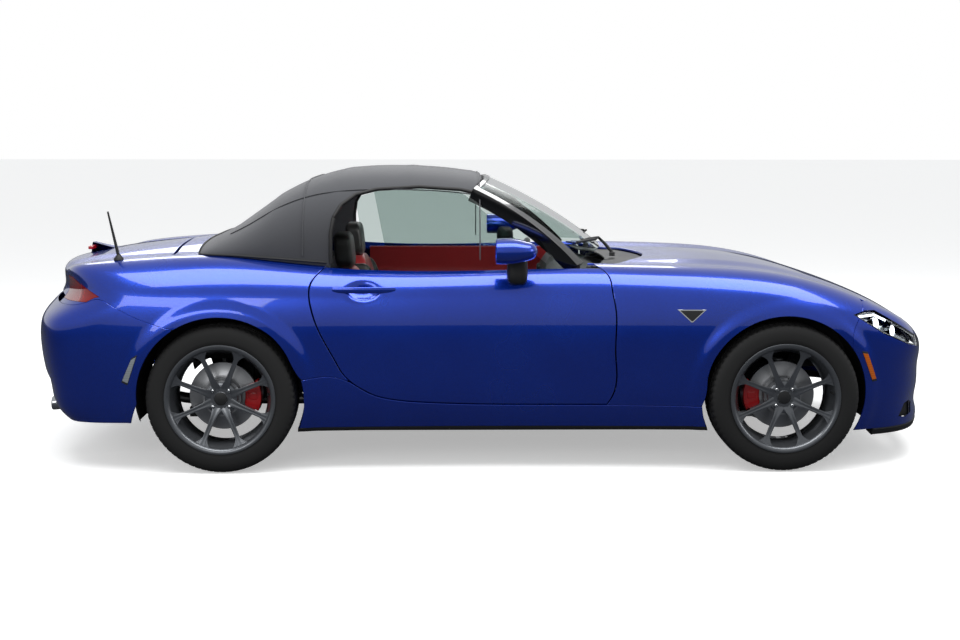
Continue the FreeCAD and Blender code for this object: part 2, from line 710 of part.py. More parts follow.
door = door.cut(slot.common(block(DOOR_REAR + 225, COWL - 470, 300, 900, 791.5, 900)))
pair("door", door)
bonnet = panel(body_wall, bonnet_place, 14, 15, size["lid_thickness"])
hinge_bore = rod(BONNET_PIN - V(0, 4, 0), BONNET_PIN + V(0, 40, 0), PIN + size["seat_gap"])
keep("bonnet", bonnet.cut([hinge_bore, other_side(hinge_bore), lamp_hole, other_side(lamp_hole)]))
half_mouth = size["mouth_width"] / 2
mouth = prism_x([(-half_mouth, 250), (-half_mouth + 60, 400), (-250, 446), (250, 446), (half_mouth - 60, 400),
                 (half_mouth, 250), (half_mouth - 90, 205), (90 - half_mouth, 205)], NOSE - 260, NOSE + 60)
bumper = panel(body_wall, nose_place, 25, 10, size["bumper_thickness"])
bonnet_room = panel(body_wall, bonnet_room_place, 14, 15, size["lid_thickness"] + size["shut_gap"], 40)
keep("front_bumper", bumper.cut([arch_front, other_side(arch_front), mouth, lamp_hole, other_side(lamp_hole),
                                 bonnet_room]))
grille_half = half_mouth + 22
bars = [block(NOSE - 112, NOSE - 100, -grille_half, grille_half, z, z + 12) for z in range(196, 430, 28)]
bars += [block(NOSE - 114, NOSE - 98, y - 5, y + 5, 196, 432) for y in range(-400, 401, 100)]
bars += [block(NOSE - 114, NOSE - 30, y - 12, y + 12, 215, 400) for y in (-grille_half, grille_half)]
behind = panel(body_wall, nose_place, 25, 10, size["bumper_thickness"] + size["seat_gap"], 200)
keep("grille", bars[0].fuse(bars[1:]).cut(behind))
splitter = panel(body_wall, splitter_place, 25, 4, 60, 3).cut([arch_front, other_side(arch_front)])
keep("splitter", splitter)
rear_cover = panel(body_wall, tail_place, 25, 10, size["bumper_thickness"])
tip_y = [-400, -400 - size["tip_spacing"]]
tip_radius = size["exhaust_diameter"] / 2
tip_notch = block(TAIL - 20, TAIL + 260, tip_y[1] - tip_radius - 14, tip_y[0] + tip_radius + 14, 120, 262)
quarter_room = panel(body_wall, lambda u, v: quarter_place(u, v, 0.002), 22, 14, 60, 20)
keep("rear_bumper", rear_cover.cut([arch_rear, other_side(arch_rear), tip_notch, quarter_room,
                                    other_side(quarter_room)]))
boot_bore = rod(BOOT_PIN - V(0, 4, 0), BOOT_PIN + V(0, 40, 0), PIN + size["seat_gap"])
boot_lid = panel(body_wall, boot_place, 12, 13, size["lid_thickness"])
keep("boot_lid", boot_lid.cut([boot_bore, other_side(boot_bore)]))
stop_lamp = through_y([(TAIL + 300, 846), (TAIL + 176, 882), (TAIL + 166, 880), (TAIL + 160, 800),
                       (TAIL + 300, 800)], -130, 130)
keep("stop_lamp", stop_lamp.cut(panel(body_wall, boot_place, 12, 13, 90, size["seat_gap"])))
keep("rear_deck", panel(body_wall, deck_place, 4, 13, size["skin_thickness"]))
keep("cowl", panel(body_wall, cowl_place, 4, 13, 12))
keep("windscreen", screen_panel(0.02, 0.97, 0.96, size["glass_thickness"], 0, 8, 13))
frame = screen_panel(-0.03, 1.0, 1.06, 52, 5, 9, 15)
keep("windscreen_frame", frame.cut(screen_panel(-0.2, 0.971, 0.9607, 90, 60, 8, 13)))
top = panel(roof_wall, roof_place(REAR_AXLE - 115, COWL - 742), 18, 25, size["fabric_thickness"])
pane = prism_x([(-330, 985), (-350, 1000), (-320, 1105), (-300, 1120), (300, 1120), (320, 1105), (350, 1000),
                (330, 985)], REAR_AXLE - 120, REAR_AXLE + 330)
screen_room = screen_panel(-0.2, 1.006, 1.12, 90, 60, 8, 13)
keep("soft_top", top.cut([through_y(WINDOW, -900, 900), pane, screen_room]))
pane_small = prism_x([(-329.6, 985.4), (-349.6, 1000), (-319.7, 1104.8), (-299.8, 1119.6), (299.8, 1119.6),
                      (319.7, 1104.8), (349.6, 1000), (329.6, 985.4)], REAR_AXLE - 120, REAR_AXLE + 330)
window_sheet = panel(roof_wall, roof_place(REAR_AXLE - 115, REAR_AXLE + 400), 12, 25, 10, -4)
keep("rear_window", window_sheet.common(pane_small))
glass = glass_sheet(size["glass_thickness"], 0).common(through_y(GLASS, 300, 900))
pair("door_glass", glass)

# Running gear.
def at_wheels(make):
    """One copy of a piece at each wheel: made for the left, mirrored for the right."""
    for end, axle, track in (("front", FRONT_AXLE, size["front_track"]), ("rear", REAR_AXLE, size["rear_track"])):
        yield end, make(axle, track / 2)


def tyre_shape(axle, middle):
    half, tread = size["tyre_width"] / 2, size["tyre_diameter"] / 2
    seat = size["rim_diameter"] / 2
    profile = [(seat, middle - half + 8), (seat + 26, middle - half), (tread - 46, middle - half),
               (tread - 12, middle - half + 12), (tread, middle - half + 26),
               (tread, middle + half - 26), (tread - 12, middle + half - 12),
               (tread - 46, middle + half), (seat + 26, middle + half), (seat, middle + half - 8)]
    return turned(profile, axle, HUB_HEIGHT)


def rim_shape(axle, middle):
    outer = size["rim_diameter"] / 2 - size["seat_gap"]
    flange = size["rim_flange"] / 2
    half = size["tyre_width"] / 2 - 8 - size["seat_gap"]
    edge = size["rim_width"] / 2 + 4
    profile = [(outer, middle - half + 1), (outer, middle + half - 1), (outer - 1, middle + edge),
               (outer - 10, middle + edge), (outer - 12, middle + 60), (outer - 30, middle + 30),
               (outer - 30, middle - 60), (outer - 12, middle - edge + 8), (outer - 10, middle - edge),
               (outer - 1, middle - edge)]
    rim = turned(profile, axle, HUB_HEIGHT)
    face = middle + size["wheel_offset"]
    hub = Part.makeCylinder(68, 36, V(axle, face, HUB_HEIGHT), Y)
    spoke = Part.makeLoft([
        Part.makePolygon([V(axle - w, y0, HUB_HEIGHT + r), V(axle + w, y0, HUB_HEIGHT + r),
                          V(axle + w * 0.6, y1, HUB_HEIGHT + r), V(axle - w * 0.6, y1, HUB_HEIGHT + r),
                          V(axle - w, y0, HUB_HEIGHT + r)])
        for r, w, y0, y1 in ((40, 20, face + 2, face + 34), (outer - 8, 15, face + 12, middle + edge - 4))], True)
    count = int(size["spoke_count"])
    spokes = []
    for k in range(count):
        spokes.append(spoke.copy())
        spokes[-1].rotate(V(axle, 0, HUB_HEIGHT), Y, 360 * k / count)
    return rim.fuse([hub] + spokes)


def disc_shape(axle, middle):
    face = middle + size["wheel_offset"] - size["seat_gap"]
    radius = size["disc_diameter"] / 2
    inner = size["spindle_radius"] + size["seat_gap"]
    profile = [(inner, face), (78, face), (78, face - 44), (radius, face - 44),
               (radius, face - 44 - size["disc_thickness"]), (inner, face - 44 - size["disc_thickness"])]
    return turned(profile, axle, HUB_HEIGHT)


def knuckle_shape(axle, middle):
    king = middle - size["kingpin_inset"]
    face = middle + size["wheel_offset"] - 4
    spindle = rod(V(axle, king, HUB_HEIGHT), V(axle, face, HUB_HEIGHT), size["spindle_radius"])
    post = rod(V(axle, king, 176), V(axle, king, 450), 22)
    arm = block(axle - 150, axle, king - 12, king + 12, 204, 228)
    disc_face = middle + size["wheel_offset"] - size["seat_gap"] - 44
    bracket = block(axle - 110, axle, king - 22, disc_face - 70 - size["seat_gap"], 290, 326)
    return spindle.fuse([post, arm, bracket])


def caliper_shape(axle, middle, ahead):
    face = middle + size["wheel_offset"] - size["seat_gap"] - 44
    ring = turned([(84, face + 8), (size["disc_diameter"] / 2 + 18, face + 8),
                   (size["disc_diameter"] / 2 + 18, face - 70), (84, face - 70)], axle, HUB_HEIGHT)
    slot = turned([(70, face + 1), (size["disc_diameter"] / 2 + 4, face + 1),
                   (size["disc_diameter"] / 2 + 4, face - size["disc_thickness"] - 1),
                   (70, face - size["disc_thickness"] - 1)], axle, HUB_HEIGHT)
    window = block(axle + 70 * ahead - (70 if ahead < 0 else 0) - (60 if ahead < 0 else 0),
                   axle + 70 * ahead + (130 if ahead > 0 else 0), 0, 900, HUB_HEIGHT - 75, HUB_HEIGHT + 75)
    return ring.common(window).cut(slot)


for end, shape in at_wheels(tyre_shape):
    pair("tyre_" + end, shape)
for end, shape in at_wheels(rim_shape):
    pair("rim_" + end, shape)
for end, shape in at_wheels(disc_shape):
    pair("disc_" + end, shape)
pair("knuckle", knuckle_shape(FRONT_AXLE, size["front_track"] / 2))
pair("front_caliper", caliper_shape(FRONT_AXLE, size["front_track"] / 2, -1))
keep("rear_calipers", both(caliper_shape(REAR_AXLE, size["rear_track"] / 2, 1)))

# Structure: floor with its tunnel, bulkheads, side members and boot tub, hollow between.
FLOOR = size["floor_bottom"]
FLOOR_TOP = FLOOR + size["floor_thickness"]
FIREWALL = COWL - 90
BULKHEAD = DOOR_REAR + 15
ARCH_SIDE = 476
POST_X = DOOR_FRONT + 10.5
half_tub = block(BULKHEAD - 20, FIREWALL + 16, 0, 560, FLOOR, FLOOR_TOP).fuse([
    block(REAR_AXLE + 365, FRONT_AXLE - 365, 560, TUB_SIDE, FLOOR, 262),
    block(DOOR_REAR + 250, FIREWALL, 560, TUB_SIDE - 8, 262, 330),
    block(BULKHEAD - 20, BULKHEAD, 0, 640, FLOOR, 800),
    block(FIREWALL, FIREWALL + 16, 0, ARCH_SIDE + 115, FLOOR, 770),
    block(BULKHEAD, FIREWALL, 96, 110, FLOOR_TOP, 330),
    block(BULKHEAD, FIREWALL, 0, 110, 316, 330),
    block(POST_X, FIREWALL + 16, 590, TUB_SIDE, FLOOR, 770),
    block(POST_X, FIREWALL + 16, TUB_SIDE, 735, 322, 770),
    block(FIREWALL + 16, FRONT_AXLE + 250, ARCH_SIDE - 16, ARCH_SIDE, 380, 660),
    block(FRONT_AXLE + 240, NOSE - 250, ARCH_SIDE - 16, ARCH_SIDE, 380, 560),
    block(NOSE - 266, NOSE - 250, 0, ARCH_SIDE, 380, 530),
    block(TAIL + 190, BULKHEAD - 20, 0, ARCH_SIDE, 420, 434),
    block(TAIL + 270, BULKHEAD - 20, ARCH_SIDE - 12, ARCH_SIDE, 420, 780),
    block(TAIL + 190, TAIL + 280, ARCH_SIDE - 12, ARCH_SIDE, 420, 640),
    block(TAIL + 190, TAIL + 202, 0, ARCH_SIDE, 420, 640)])
pillar_room = screen_panel(-0.03, 1.0, 1.06, 52 + size["seat_gap"], 90, 9, 15)
cowl_room = panel(body_wall, cowl_place, 4, 13, 12 + size["seat_gap"], 90)
half_tub = half_tub.fuse([
    block(368, POST_X + 10, 618, 655, 700, 740),
    block(368, 396, 618, 655, 730, 850).cut(pillar_room),
    block(FIREWALL, FIREWALL + 16, 0, 280, 760, 840).cut(cowl_room)])
for z in DOOR_HINGES:
    half_tub = half_tub.fuse([
        rod(V(HINGE_X, HINGE_Y, z - 16), V(HINGE_X, HINGE_Y, z + 16), PIN),
        block(HINGE_X - 3, HINGE_X + 3, HINGE_Y - 62, HINGE_Y, z - 5, z + 5),
        block(HINGE_X - 3, POST_X + 40, HINGE_Y - 62, HINGE_Y - 50, z - 5, z + 5),
        block(POST_X, POST_X + 40, 700, HINGE_Y - 50, z - 5, z + 5)])
tunnel = block(BULKHEAD - 30, FIREWALL + 30, -96, 96, FLOOR - 10, 316)
arm_window = block(FRONT_AXLE - 126, FRONT_AXLE + 126, ARCH_SIDE - 20, ARCH_SIDE + 4, 370, 448)
half_tub = half_tub.cut([arm_window, bonnet_room.common(block(FIREWALL + 40, NOSE, -900, 900, 0, 1000))])
keep("floor_tub", half_tub.fuse(other_side(half_tub)).cut(tunnel))


def liner(axle, radius, y1):
    """The black lining of a wheel arch, over the wheel."""
    low = ARCH_SIDE + size["seat_gap"]
    ring = Part.makeCylinder(radius, y1 - low, V(axle, low, HUB_HEIGHT), Y).cut(
        Part.makeCylinder(radius - 5, y1 - low, V(axle, low, HUB_HEIGHT), Y))
    return ring.common(block(axle - 500, axle + 500, 400, 900, HUB_HEIGHT + 20, 900))


liners = [liner(FRONT_AXLE, 368, 790).cut(behind), liner(REAR_AXLE, 359, 800)]
keep("arch_liners", Part.makeCompound(liners + [other_side(shape) for shape in liners]))


def arm_shape(axle, king, z, inner_y, leg):
    """A wishbone: two legs from the subframe to an eye round the steering post."""
    tip = king + 28
    wire = Part.makePolygon([V(axle - leg, inner_y, z), V(axle - leg + 40, inner_y, z), V(axle, king - 70, z),
                             V(axle + leg - 40, inner_y, z), V(axle + leg, inner_y, z), V(axle + 30, tip, z),
                             V(axle - 30, tip, z), V(axle - leg, inner_y, z)])
    return Part.Face(wire).extrude(V(0, 0, 22))


def front_arms():
    king = size["front_track"] / 2 - size["kingpin_inset"]
    eye = Part.makeCylinder(22 + size["seat_gap"], 400, V(FRONT_AXLE, king, 100))
    arms = arm_shape(FRONT_AXLE, king, 178, 300, 170).fuse(arm_shape(FRONT_AXLE, king, 420, 420, 120))
    return arms.cut(eye)


cross = block(FRONT_AXLE - 180, FRONT_AXLE + 180, 0, 310, 178, 230)
riser = block(FRONT_AXLE - 130, FRONT_AXLE + 130, 400, ARCH_SIDE - 16 - size["seat_gap"], 400, 442)
post = block(FRONT_AXLE - 60, FRONT_AXLE + 60, 280, 310, 200, 442)
shelf = block(FRONT_AXLE - 60, FRONT_AXLE + 60, 300, 410, 400, 420)
half_front = front_arms().fuse([cross, riser, post, shelf])
keep("front_subframe", half_front.fuse(other_side(half_front)))

rear_hub = size["rear_track"] / 2 + size["wheel_offset"] - 4
half_rear = block(REAR_AXLE - 200, REAR_AXLE + 200, 0, 300, 210, 262).fuse([
    rod(V(REAR_AXLE, 640, HUB_HEIGHT), V(REAR_AXLE, rear_hub, HUB_HEIGHT), size["spindle_radius"]),
    block(REAR_AXLE - 50, REAR_AXLE + 50, 620, 650, 190, 400),
    block(REAR_AXLE - 160, REAR_AXLE - 120, 280, 640, 215, 240),
    block(REAR_AXLE - 160, REAR_AXLE - 20, 620, 650, 200, 240),
    block(REAR_AXLE + 10, REAR_AXLE + 50, 280, 640, 190, 215),
    block(REAR_AXLE - 20, REAR_AXLE + 20, 280, 640, 380, 400),
    block(REAR_AXLE + 40, REAR_AXLE + 110, 630, 650, 285, 335),
    block(REAR_AXLE + 84, REAR_AXLE + 110, 640, rear_hub + 4 - 44 - 70 - 2 * size["seat_gap"], 285, 335),
    block(REAR_AXLE - 60, REAR_AXLE + 60, 260, 300, 210, 420 - size["seat_gap"])])
half_rear = half_rear.cut(rod(V(REAR_AXLE, 200, HUB_HEIGHT), V(REAR_AXLE, 618, HUB_HEIGHT), 20))
keep("rear_subframe", half_rear.fuse(other_side(half_rear)))

# Engine, driveline and exhaust.
engine = doc.addObject("Part::Box", "engine")
engine.Label = "engine"
engine.setExpression("Length", "sizes.engine_length")
engine.setExpression("Width", "sizes.engine_width")
engine.setExpression("Height", "sizes.engine_height")
engine.Placement = FreeCAD.Placement(
    V(FIREWALL + 60, -size["engine_width"] / 2, 230 + size["seat_gap"]), FreeCAD.Rotation())
shaft = rod(V(FIREWALL + 60 - 5 * size["seat_gap"], 0, 250), V(REAR_AXLE + 120, 0, 298), 24)
diff = block(REAR_AXLE - 110, REAR_AXLE + 120, -95, 95, 262 + size["seat_gap"], 400)
half_shafts = rod(V(REAR_AXLE, -617, HUB_HEIGHT), V(REAR_AXLE, 617, HUB_HEIGHT), 14)
keep("driveline", shaft.fuse([diff, half_shafts]))
muffler = block(TAIL + 150, TAIL + 330, -470, 300, 225, 380)
pipe = rod(V(TAIL + 320, -150, 250), V(REAR_AXLE - 215, -150, 182), 24).fuse(
    rod(V(REAR_AXLE - 220, -150, 182), V(REAR_AXLE + 330, -150, 182), 24))
tips = [rod(V(TAIL + 170, y, 236), V(TAIL + 40, y, 226), tip_radius) for y in tip_y]
keep("exhaust", muffler.fuse([pipe] + tips))

# Cabin.
def seat_shape(middle):
    half = size["seat_width"] / 2
    cushion = through_y([(-560, FLOOR_TOP + size["seat_gap"]), (-560, 300), (-520, 320), (-80, 345), (-40, 320),
                         (-60, FLOOR_TOP + size["seat_gap"])], middle - half, middle + half)
    back = through_y([(-560, 300), (-440, 320), (-560, 800), (-660, 800)], middle - half + 10, middle + half - 10)
    head = through_y([(-565, 790), (-650, 790), (-665, 960), (-600, 960)], middle - 130, middle + 130)
    return cushion.fuse([back, head])


pair("seat", seat_shape(size["seat_place"]))
dash = through_y([(330, 560), (300, 700), (330, 790), (500, 780), (FIREWALL - size["seat_gap"], 750),
                     (FIREWALL - size["seat_gap"], 560)],
                 -585, 585)
WHEEL_HUB = V(196, size["seat_place"], 700)
COLUMN = V(330, size["seat_place"], 660)
keep("dashboard", dash.fuse(rod(COLUMN, WHEEL_HUB, 24)))
ring = Part.makeTorus(size["steering_wheel_diameter"] / 2 - 15, 15, V(0, 0, 0), Z)
reach = size["steering_wheel_diameter"] / 2 - 20
spokes = [Part.makeBox(2 * reach, 40, 16, V(-reach, -20, -8)), Part.makeBox(40, reach, 16, V(-20, -reach, -8)),
          Part.makeCylinder(60, 40, V(0, 0, -20), Z)]
column_way = (WHEEL_HUB - COLUMN).normalize()
keep("steering_wheel", ring.fuse(spokes), FreeCAD.Placement(
    WHEEL_HUB + column_way * (20 + size["seat_gap"]), FreeCAD.Rotation(Z, column_way)))

# Mirrors, antenna and wipers.
def upright_oval(x, y, z, half_width, half_height):
    ellipse = Part.Ellipse(V(x, y, z), half_width, half_height)
    wire = Part.Wire(ellipse.toShape())
    wire.rotate(V(x, y, z), Y, 90)
    wire.rotate(V(x, y, z), X, 90)
    return wire


cap = Part.makeLoft([upright_oval(x, 864 - 0.03 * (x - 40), 915, w, h) for x, w, h in (
    (40, 88, 50), (80, 90, 52), (130, 84, 48), (175, 62, 36), (200, 32, 20), (208, 8, 5))], True)
neck = block(105, 165, 728, 800, 770, 900).cut(door_room)
pair("mirror", cap.fuse(neck))
ANTENNA = on_top(TAIL + 440, -656)
mast = Part.makeCone(7, 2.5, size["antenna_length"], ANTENNA + V(0, 0, size["seat_gap"] + 4), V(-0.21, 0, 1))
keep("antenna", mast.fuse(Part.makeCylinder(15, 22, ANTENNA + V(0, 0, size["seat_gap"] + 2))))


cowl_top = panel(body_wall, cowl_place, 4, 13, 60, size["seat_gap"])


def wiper(y, sweep):
    """A wiper: its pivot on the cowl, its arm and the blade along the foot of the screen."""
    lift = V(0.513, 0, 0.858) * 21
    foot = on_top(screen_foot(y) + 50, y) + V(0, 0, size["seat_gap"] - 14)
    low, high = screen_place(0.05, 0.5 + y / 1280), screen_place(0.14, 0.5 + (y + sweep) / 1280)
    return Part.makeCylinder(11, 24, foot - V(0, 0, 4)).cut(cowl_top).fuse([
        rod(foot + V(0, 0, 12), low + lift, 7), rod(low + lift, high + lift, 6)])


keep("wipers", Part.makeCompound([wiper(450, -430), wiper(-80, -430)]))

doc.recompute()
parts = [feature for feature in doc.Objects if feature is not sheet]
for feature in doc.Objects:
    if "Invalid" in feature.State or "Error" in feature.State:
        raise RuntimeError(feature.Label + " did not compute")
for feature in parts:
    if feature.Shape.isNull() or not feature.Shape.isValid():
        raise RuntimeError(feature.Label + " has a bad shape")
os.makedirs("parts", exist_ok=True)
for feature in parts:
    shape = feature.Shape
    print(feature.Label, len(shape.Solids), round(shape.Volume / 1e6, 2), shape.BoundBox)
    shape.exportStep("parts/%s.step" % feature.Label)
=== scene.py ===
"""A small two-seat roadster with its fabric top raised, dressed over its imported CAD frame.

The CAD gives the place of every piece. This file rebuilds the visible skins as fine
surfaces on the same walls, adds the forms that are too small for the CAD, and gives each
piece a finish made of shader nodes. Lengths inside the shape code are millimetres.
"""
import logging
import math
from dataclasses import dataclass
from enum import Enum
from typing import Callable, Iterable, Optional, Sequence

import bmesh
import bpy
import numpy as np
from mathutils import Matrix, Vector


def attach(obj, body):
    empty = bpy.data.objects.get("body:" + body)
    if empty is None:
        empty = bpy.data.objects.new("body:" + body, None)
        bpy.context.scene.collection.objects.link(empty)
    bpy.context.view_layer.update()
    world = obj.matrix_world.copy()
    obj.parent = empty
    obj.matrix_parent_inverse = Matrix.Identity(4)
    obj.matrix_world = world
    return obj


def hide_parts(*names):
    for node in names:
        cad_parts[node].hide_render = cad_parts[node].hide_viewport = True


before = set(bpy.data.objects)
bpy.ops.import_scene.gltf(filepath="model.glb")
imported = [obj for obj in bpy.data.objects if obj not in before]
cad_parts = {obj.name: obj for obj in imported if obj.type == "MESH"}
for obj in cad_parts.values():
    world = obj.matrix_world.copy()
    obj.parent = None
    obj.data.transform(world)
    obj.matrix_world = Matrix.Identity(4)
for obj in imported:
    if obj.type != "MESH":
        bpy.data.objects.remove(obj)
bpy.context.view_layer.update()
LOG = logging.getLogger("roadster")
Array = np.ndarray
MM = 0.001

NOSE, TAIL = 1957.5, -1957.5
FRONT_AXLE, REAR_AXLE = 1228.5, -1081.5
HUB_HEIGHT = 308.0
SHUT, SEAM = 2.5, 0.2
COWL, DOOR_FRONT, DOOR_REAR, BOOT_FRONT = 732.5, 530.5, -715.5, -1331.5
HALF_WIDTH, WINDOW_Y, ROOF = 867.5, 712.0, 1235.0
ARCH, FLARE, FLARE_DEPTH = 340.0, 392.0, 9.0
BOOT_SIDE = 548.0
HOOD_REAR, HOOD_FRONT = REAR_AXLE - 115, COWL - 742
PANE_REAR, PANE_FRONT = REAR_AXLE - 140, REAR_AXLE + 330
TAIL_POST = TAIL + 460.0
TAIL_SWING = math.radians(60)
FRONT_TRACK, REAR_TRACK = 1495.0, 1505.0
SILL_BOTTOM, SKIRT_DEPTH, FABRIC = 180.0, 16.0, 3.0
# The post inside the body that section rays start from, and the radius of its swing round the tail.
POST_Y, POST_Z, SWING_RADIUS = 400.0, 520.0, 400.0
# Posts on the middle plane that the nose and the tail are seen from.
NOSE_POST, REAR_POST = FRONT_AXLE + 70, TAIL + 640
# Outside the widest piece: where a block that cuts through one side ends.
OUTSIDE = 900.0
# Thickness of painted sheet, of moulded covers, and of a lid with its frame.
PANEL, COVER, LID = 3.0, 3.5, 8.0
# Extra room ahead of the boot lid's front edge, which swings forward as it dives.
LID_SWING = 9.0
# Edges steeper than this many degrees stay crisp.
CRISP = 42.0
# Blender's wave texture runs through this many waves in one unit of its scale.
WAVE = 6.28
# Share of its size, or radius in millimetres, that an end drawn to a point keeps.
POINTED = 0.01
# Middle of a seat, of the steering wheel and of the dials, left of the car's middle.
SEAT_Y = 336.0
TYRE_RADIUS, TREAD_PITCH = 308.0, 27.5
MIRROR_SIDES = 56
HEAD_LAMP = [(NOSE - 455, 650), (NOSE - 400, 664), (NOSE - 352, 662), (NOSE - 262, 612), (NOSE - 150, 548),
             (NOSE - 60, 505), (NOSE - 60, 470), (NOSE - 190, 512), (NOSE - 320, 568)]
TAIL_LAMP = [(TAIL + 366, 718), (TAIL + 392, 724), (TAIL + 240, 790), (TAIL + 20, 790), (TAIL + 20, 688),
             (TAIL + 330, 700)]
WINDOW = [(DOOR_REAR + 79, 780), (DOOR_REAR + 79, 973), (DOOR_REAR + 90, 1040), (DOOR_REAR + 119, 1088),
          (DOOR_REAR + 177, 1130), (DOOR_REAR + 265, 1152), (DOOR_REAR + 445, 1162), (COWL - 834, 1150),
          (COWL - 640, 1100), (COWL - 640, 780)]
GLASS_OUTLINE = [(DOOR_REAR + 233, 792), (DOOR_REAR + 182, 1089), (DOOR_REAR + 190, 1123),
                 (DOOR_REAR + 265, 1144), (DOOR_REAR + 445, 1154), (COWL - 842, 1142), (COWL - 815, 1128),
                 (COWL - 661, 995), (COWL - 480, 850), (COWL - 480, 792)]


class Side(Enum):
    """Which side of the car a piece is on; the value is the sign of Y."""

    LEFT = 1
    RIGHT = -1

    @property
    def word(self) -> str:
        """The side's name as the nodes spell it."""
        return self.name.lower()


class Curve:
    """A natural cubic spline through a few stations, straight beyond its ends."""

    def __init__(self, *stations: tuple[float, float]) -> None:
        """Solves the spline's bends at its stations.

        Args:
            stations: place and value pairs in rising order of place.
        """
        self.at = np.array([s[0] for s in stations], float)
        self.value = np.array([s[1] for s in stations], float)
        step = np.diff(self.at)
        rise = np.diff(self.value) / step
        count = len(stations)
        system = np.eye(count)
        inner = np.arange(1, count - 1)
        system[inner, inner - 1] = step[:-1]
        system[inner, inner] = 2 * (step[:-1] + step[1:])
        system[inner, inner + 1] = step[1:]
        pull = np.zeros(count)
        pull[1:-1] = 6 * np.diff(rise)
        self.bend = np.linalg.solve(system, pull)
        self.first = rise[0] - (2 * self.bend[0] + self.bend[1]) * step[0] / 6
        self.last = rise[-1] + (self.bend[-2] + 2 * self.bend[-1]) * step[-1] / 6

    def __call__(self, place: Array | float) -> Array:
        """The spline's value: a blend of two stations plus the cubic bend terms."""
        place = np.asarray(place, float)
        inside = np.clip(place, self.at[0], self.at[-1])
        i = np.clip(np.searchsorted(self.at, inside, side="right") - 1, 0, len(self.at) - 2)
        step = self.at[i + 1] - self.at[i]
        a = (self.at[i + 1] - inside) / step
        b = 1 - a
        bent = (a ** 3 - a) * self.bend[i] + (b ** 3 - b) * self.bend[i + 1]
        value = a * self.value[i] + b * self.value[i + 1] + bent * step * step / 6
        low = np.minimum(place - self.at[0], 0) * self.first
        return value + low + np.maximum(place - self.at[-1], 0) * self.last


def smooth_step(t: Array | float) -> Array:
    """Zero to one with level ends: three t squared less two t cubed."""
    t = np.clip(t, 0, 1)
    return t * t * (3 - 2 * t)


def mix(a: Array | float, b: Array | float, t: Array | float) -> Array | float:
    """The straight blend from a to b."""
    return a + (b - a) * t


def smooth_max(a: Array, b: Array, reach: float) -> Array:
    """The larger of two values, rounded where they come within the reach of each other."""
    near = np.maximum(reach - np.abs(a - b), 0) / reach
    return np.maximum(a, b) + near ** 3 * reach / 6


def full_turn(steps: int) -> Array:
    """Even angles once round, the last one short of the first."""
    return np.linspace(0, 2 * np.pi, steps, endpoint=False)


def shares(across: int, along: int) -> tuple[Array, Array]:
    """Zero to one in even steps, once as a column and once as a row."""
    return np.linspace(0, 1, across)[:, None], np.linspace(0, 1, along)[None, :]


def vec(*parts: Array | float) -> Array:
    """Stacks X, Y and Z, each a number or an array, into points."""
    return np.stack(np.broadcast_arrays(*[np.asarray(p, float) for p in parts]), axis=-1)


def unit(v: Array) -> Array:
    """Vectors brought to length one."""
    return v / np.maximum(np.linalg.norm(v, axis=-1, keepdims=True), 1e-9)


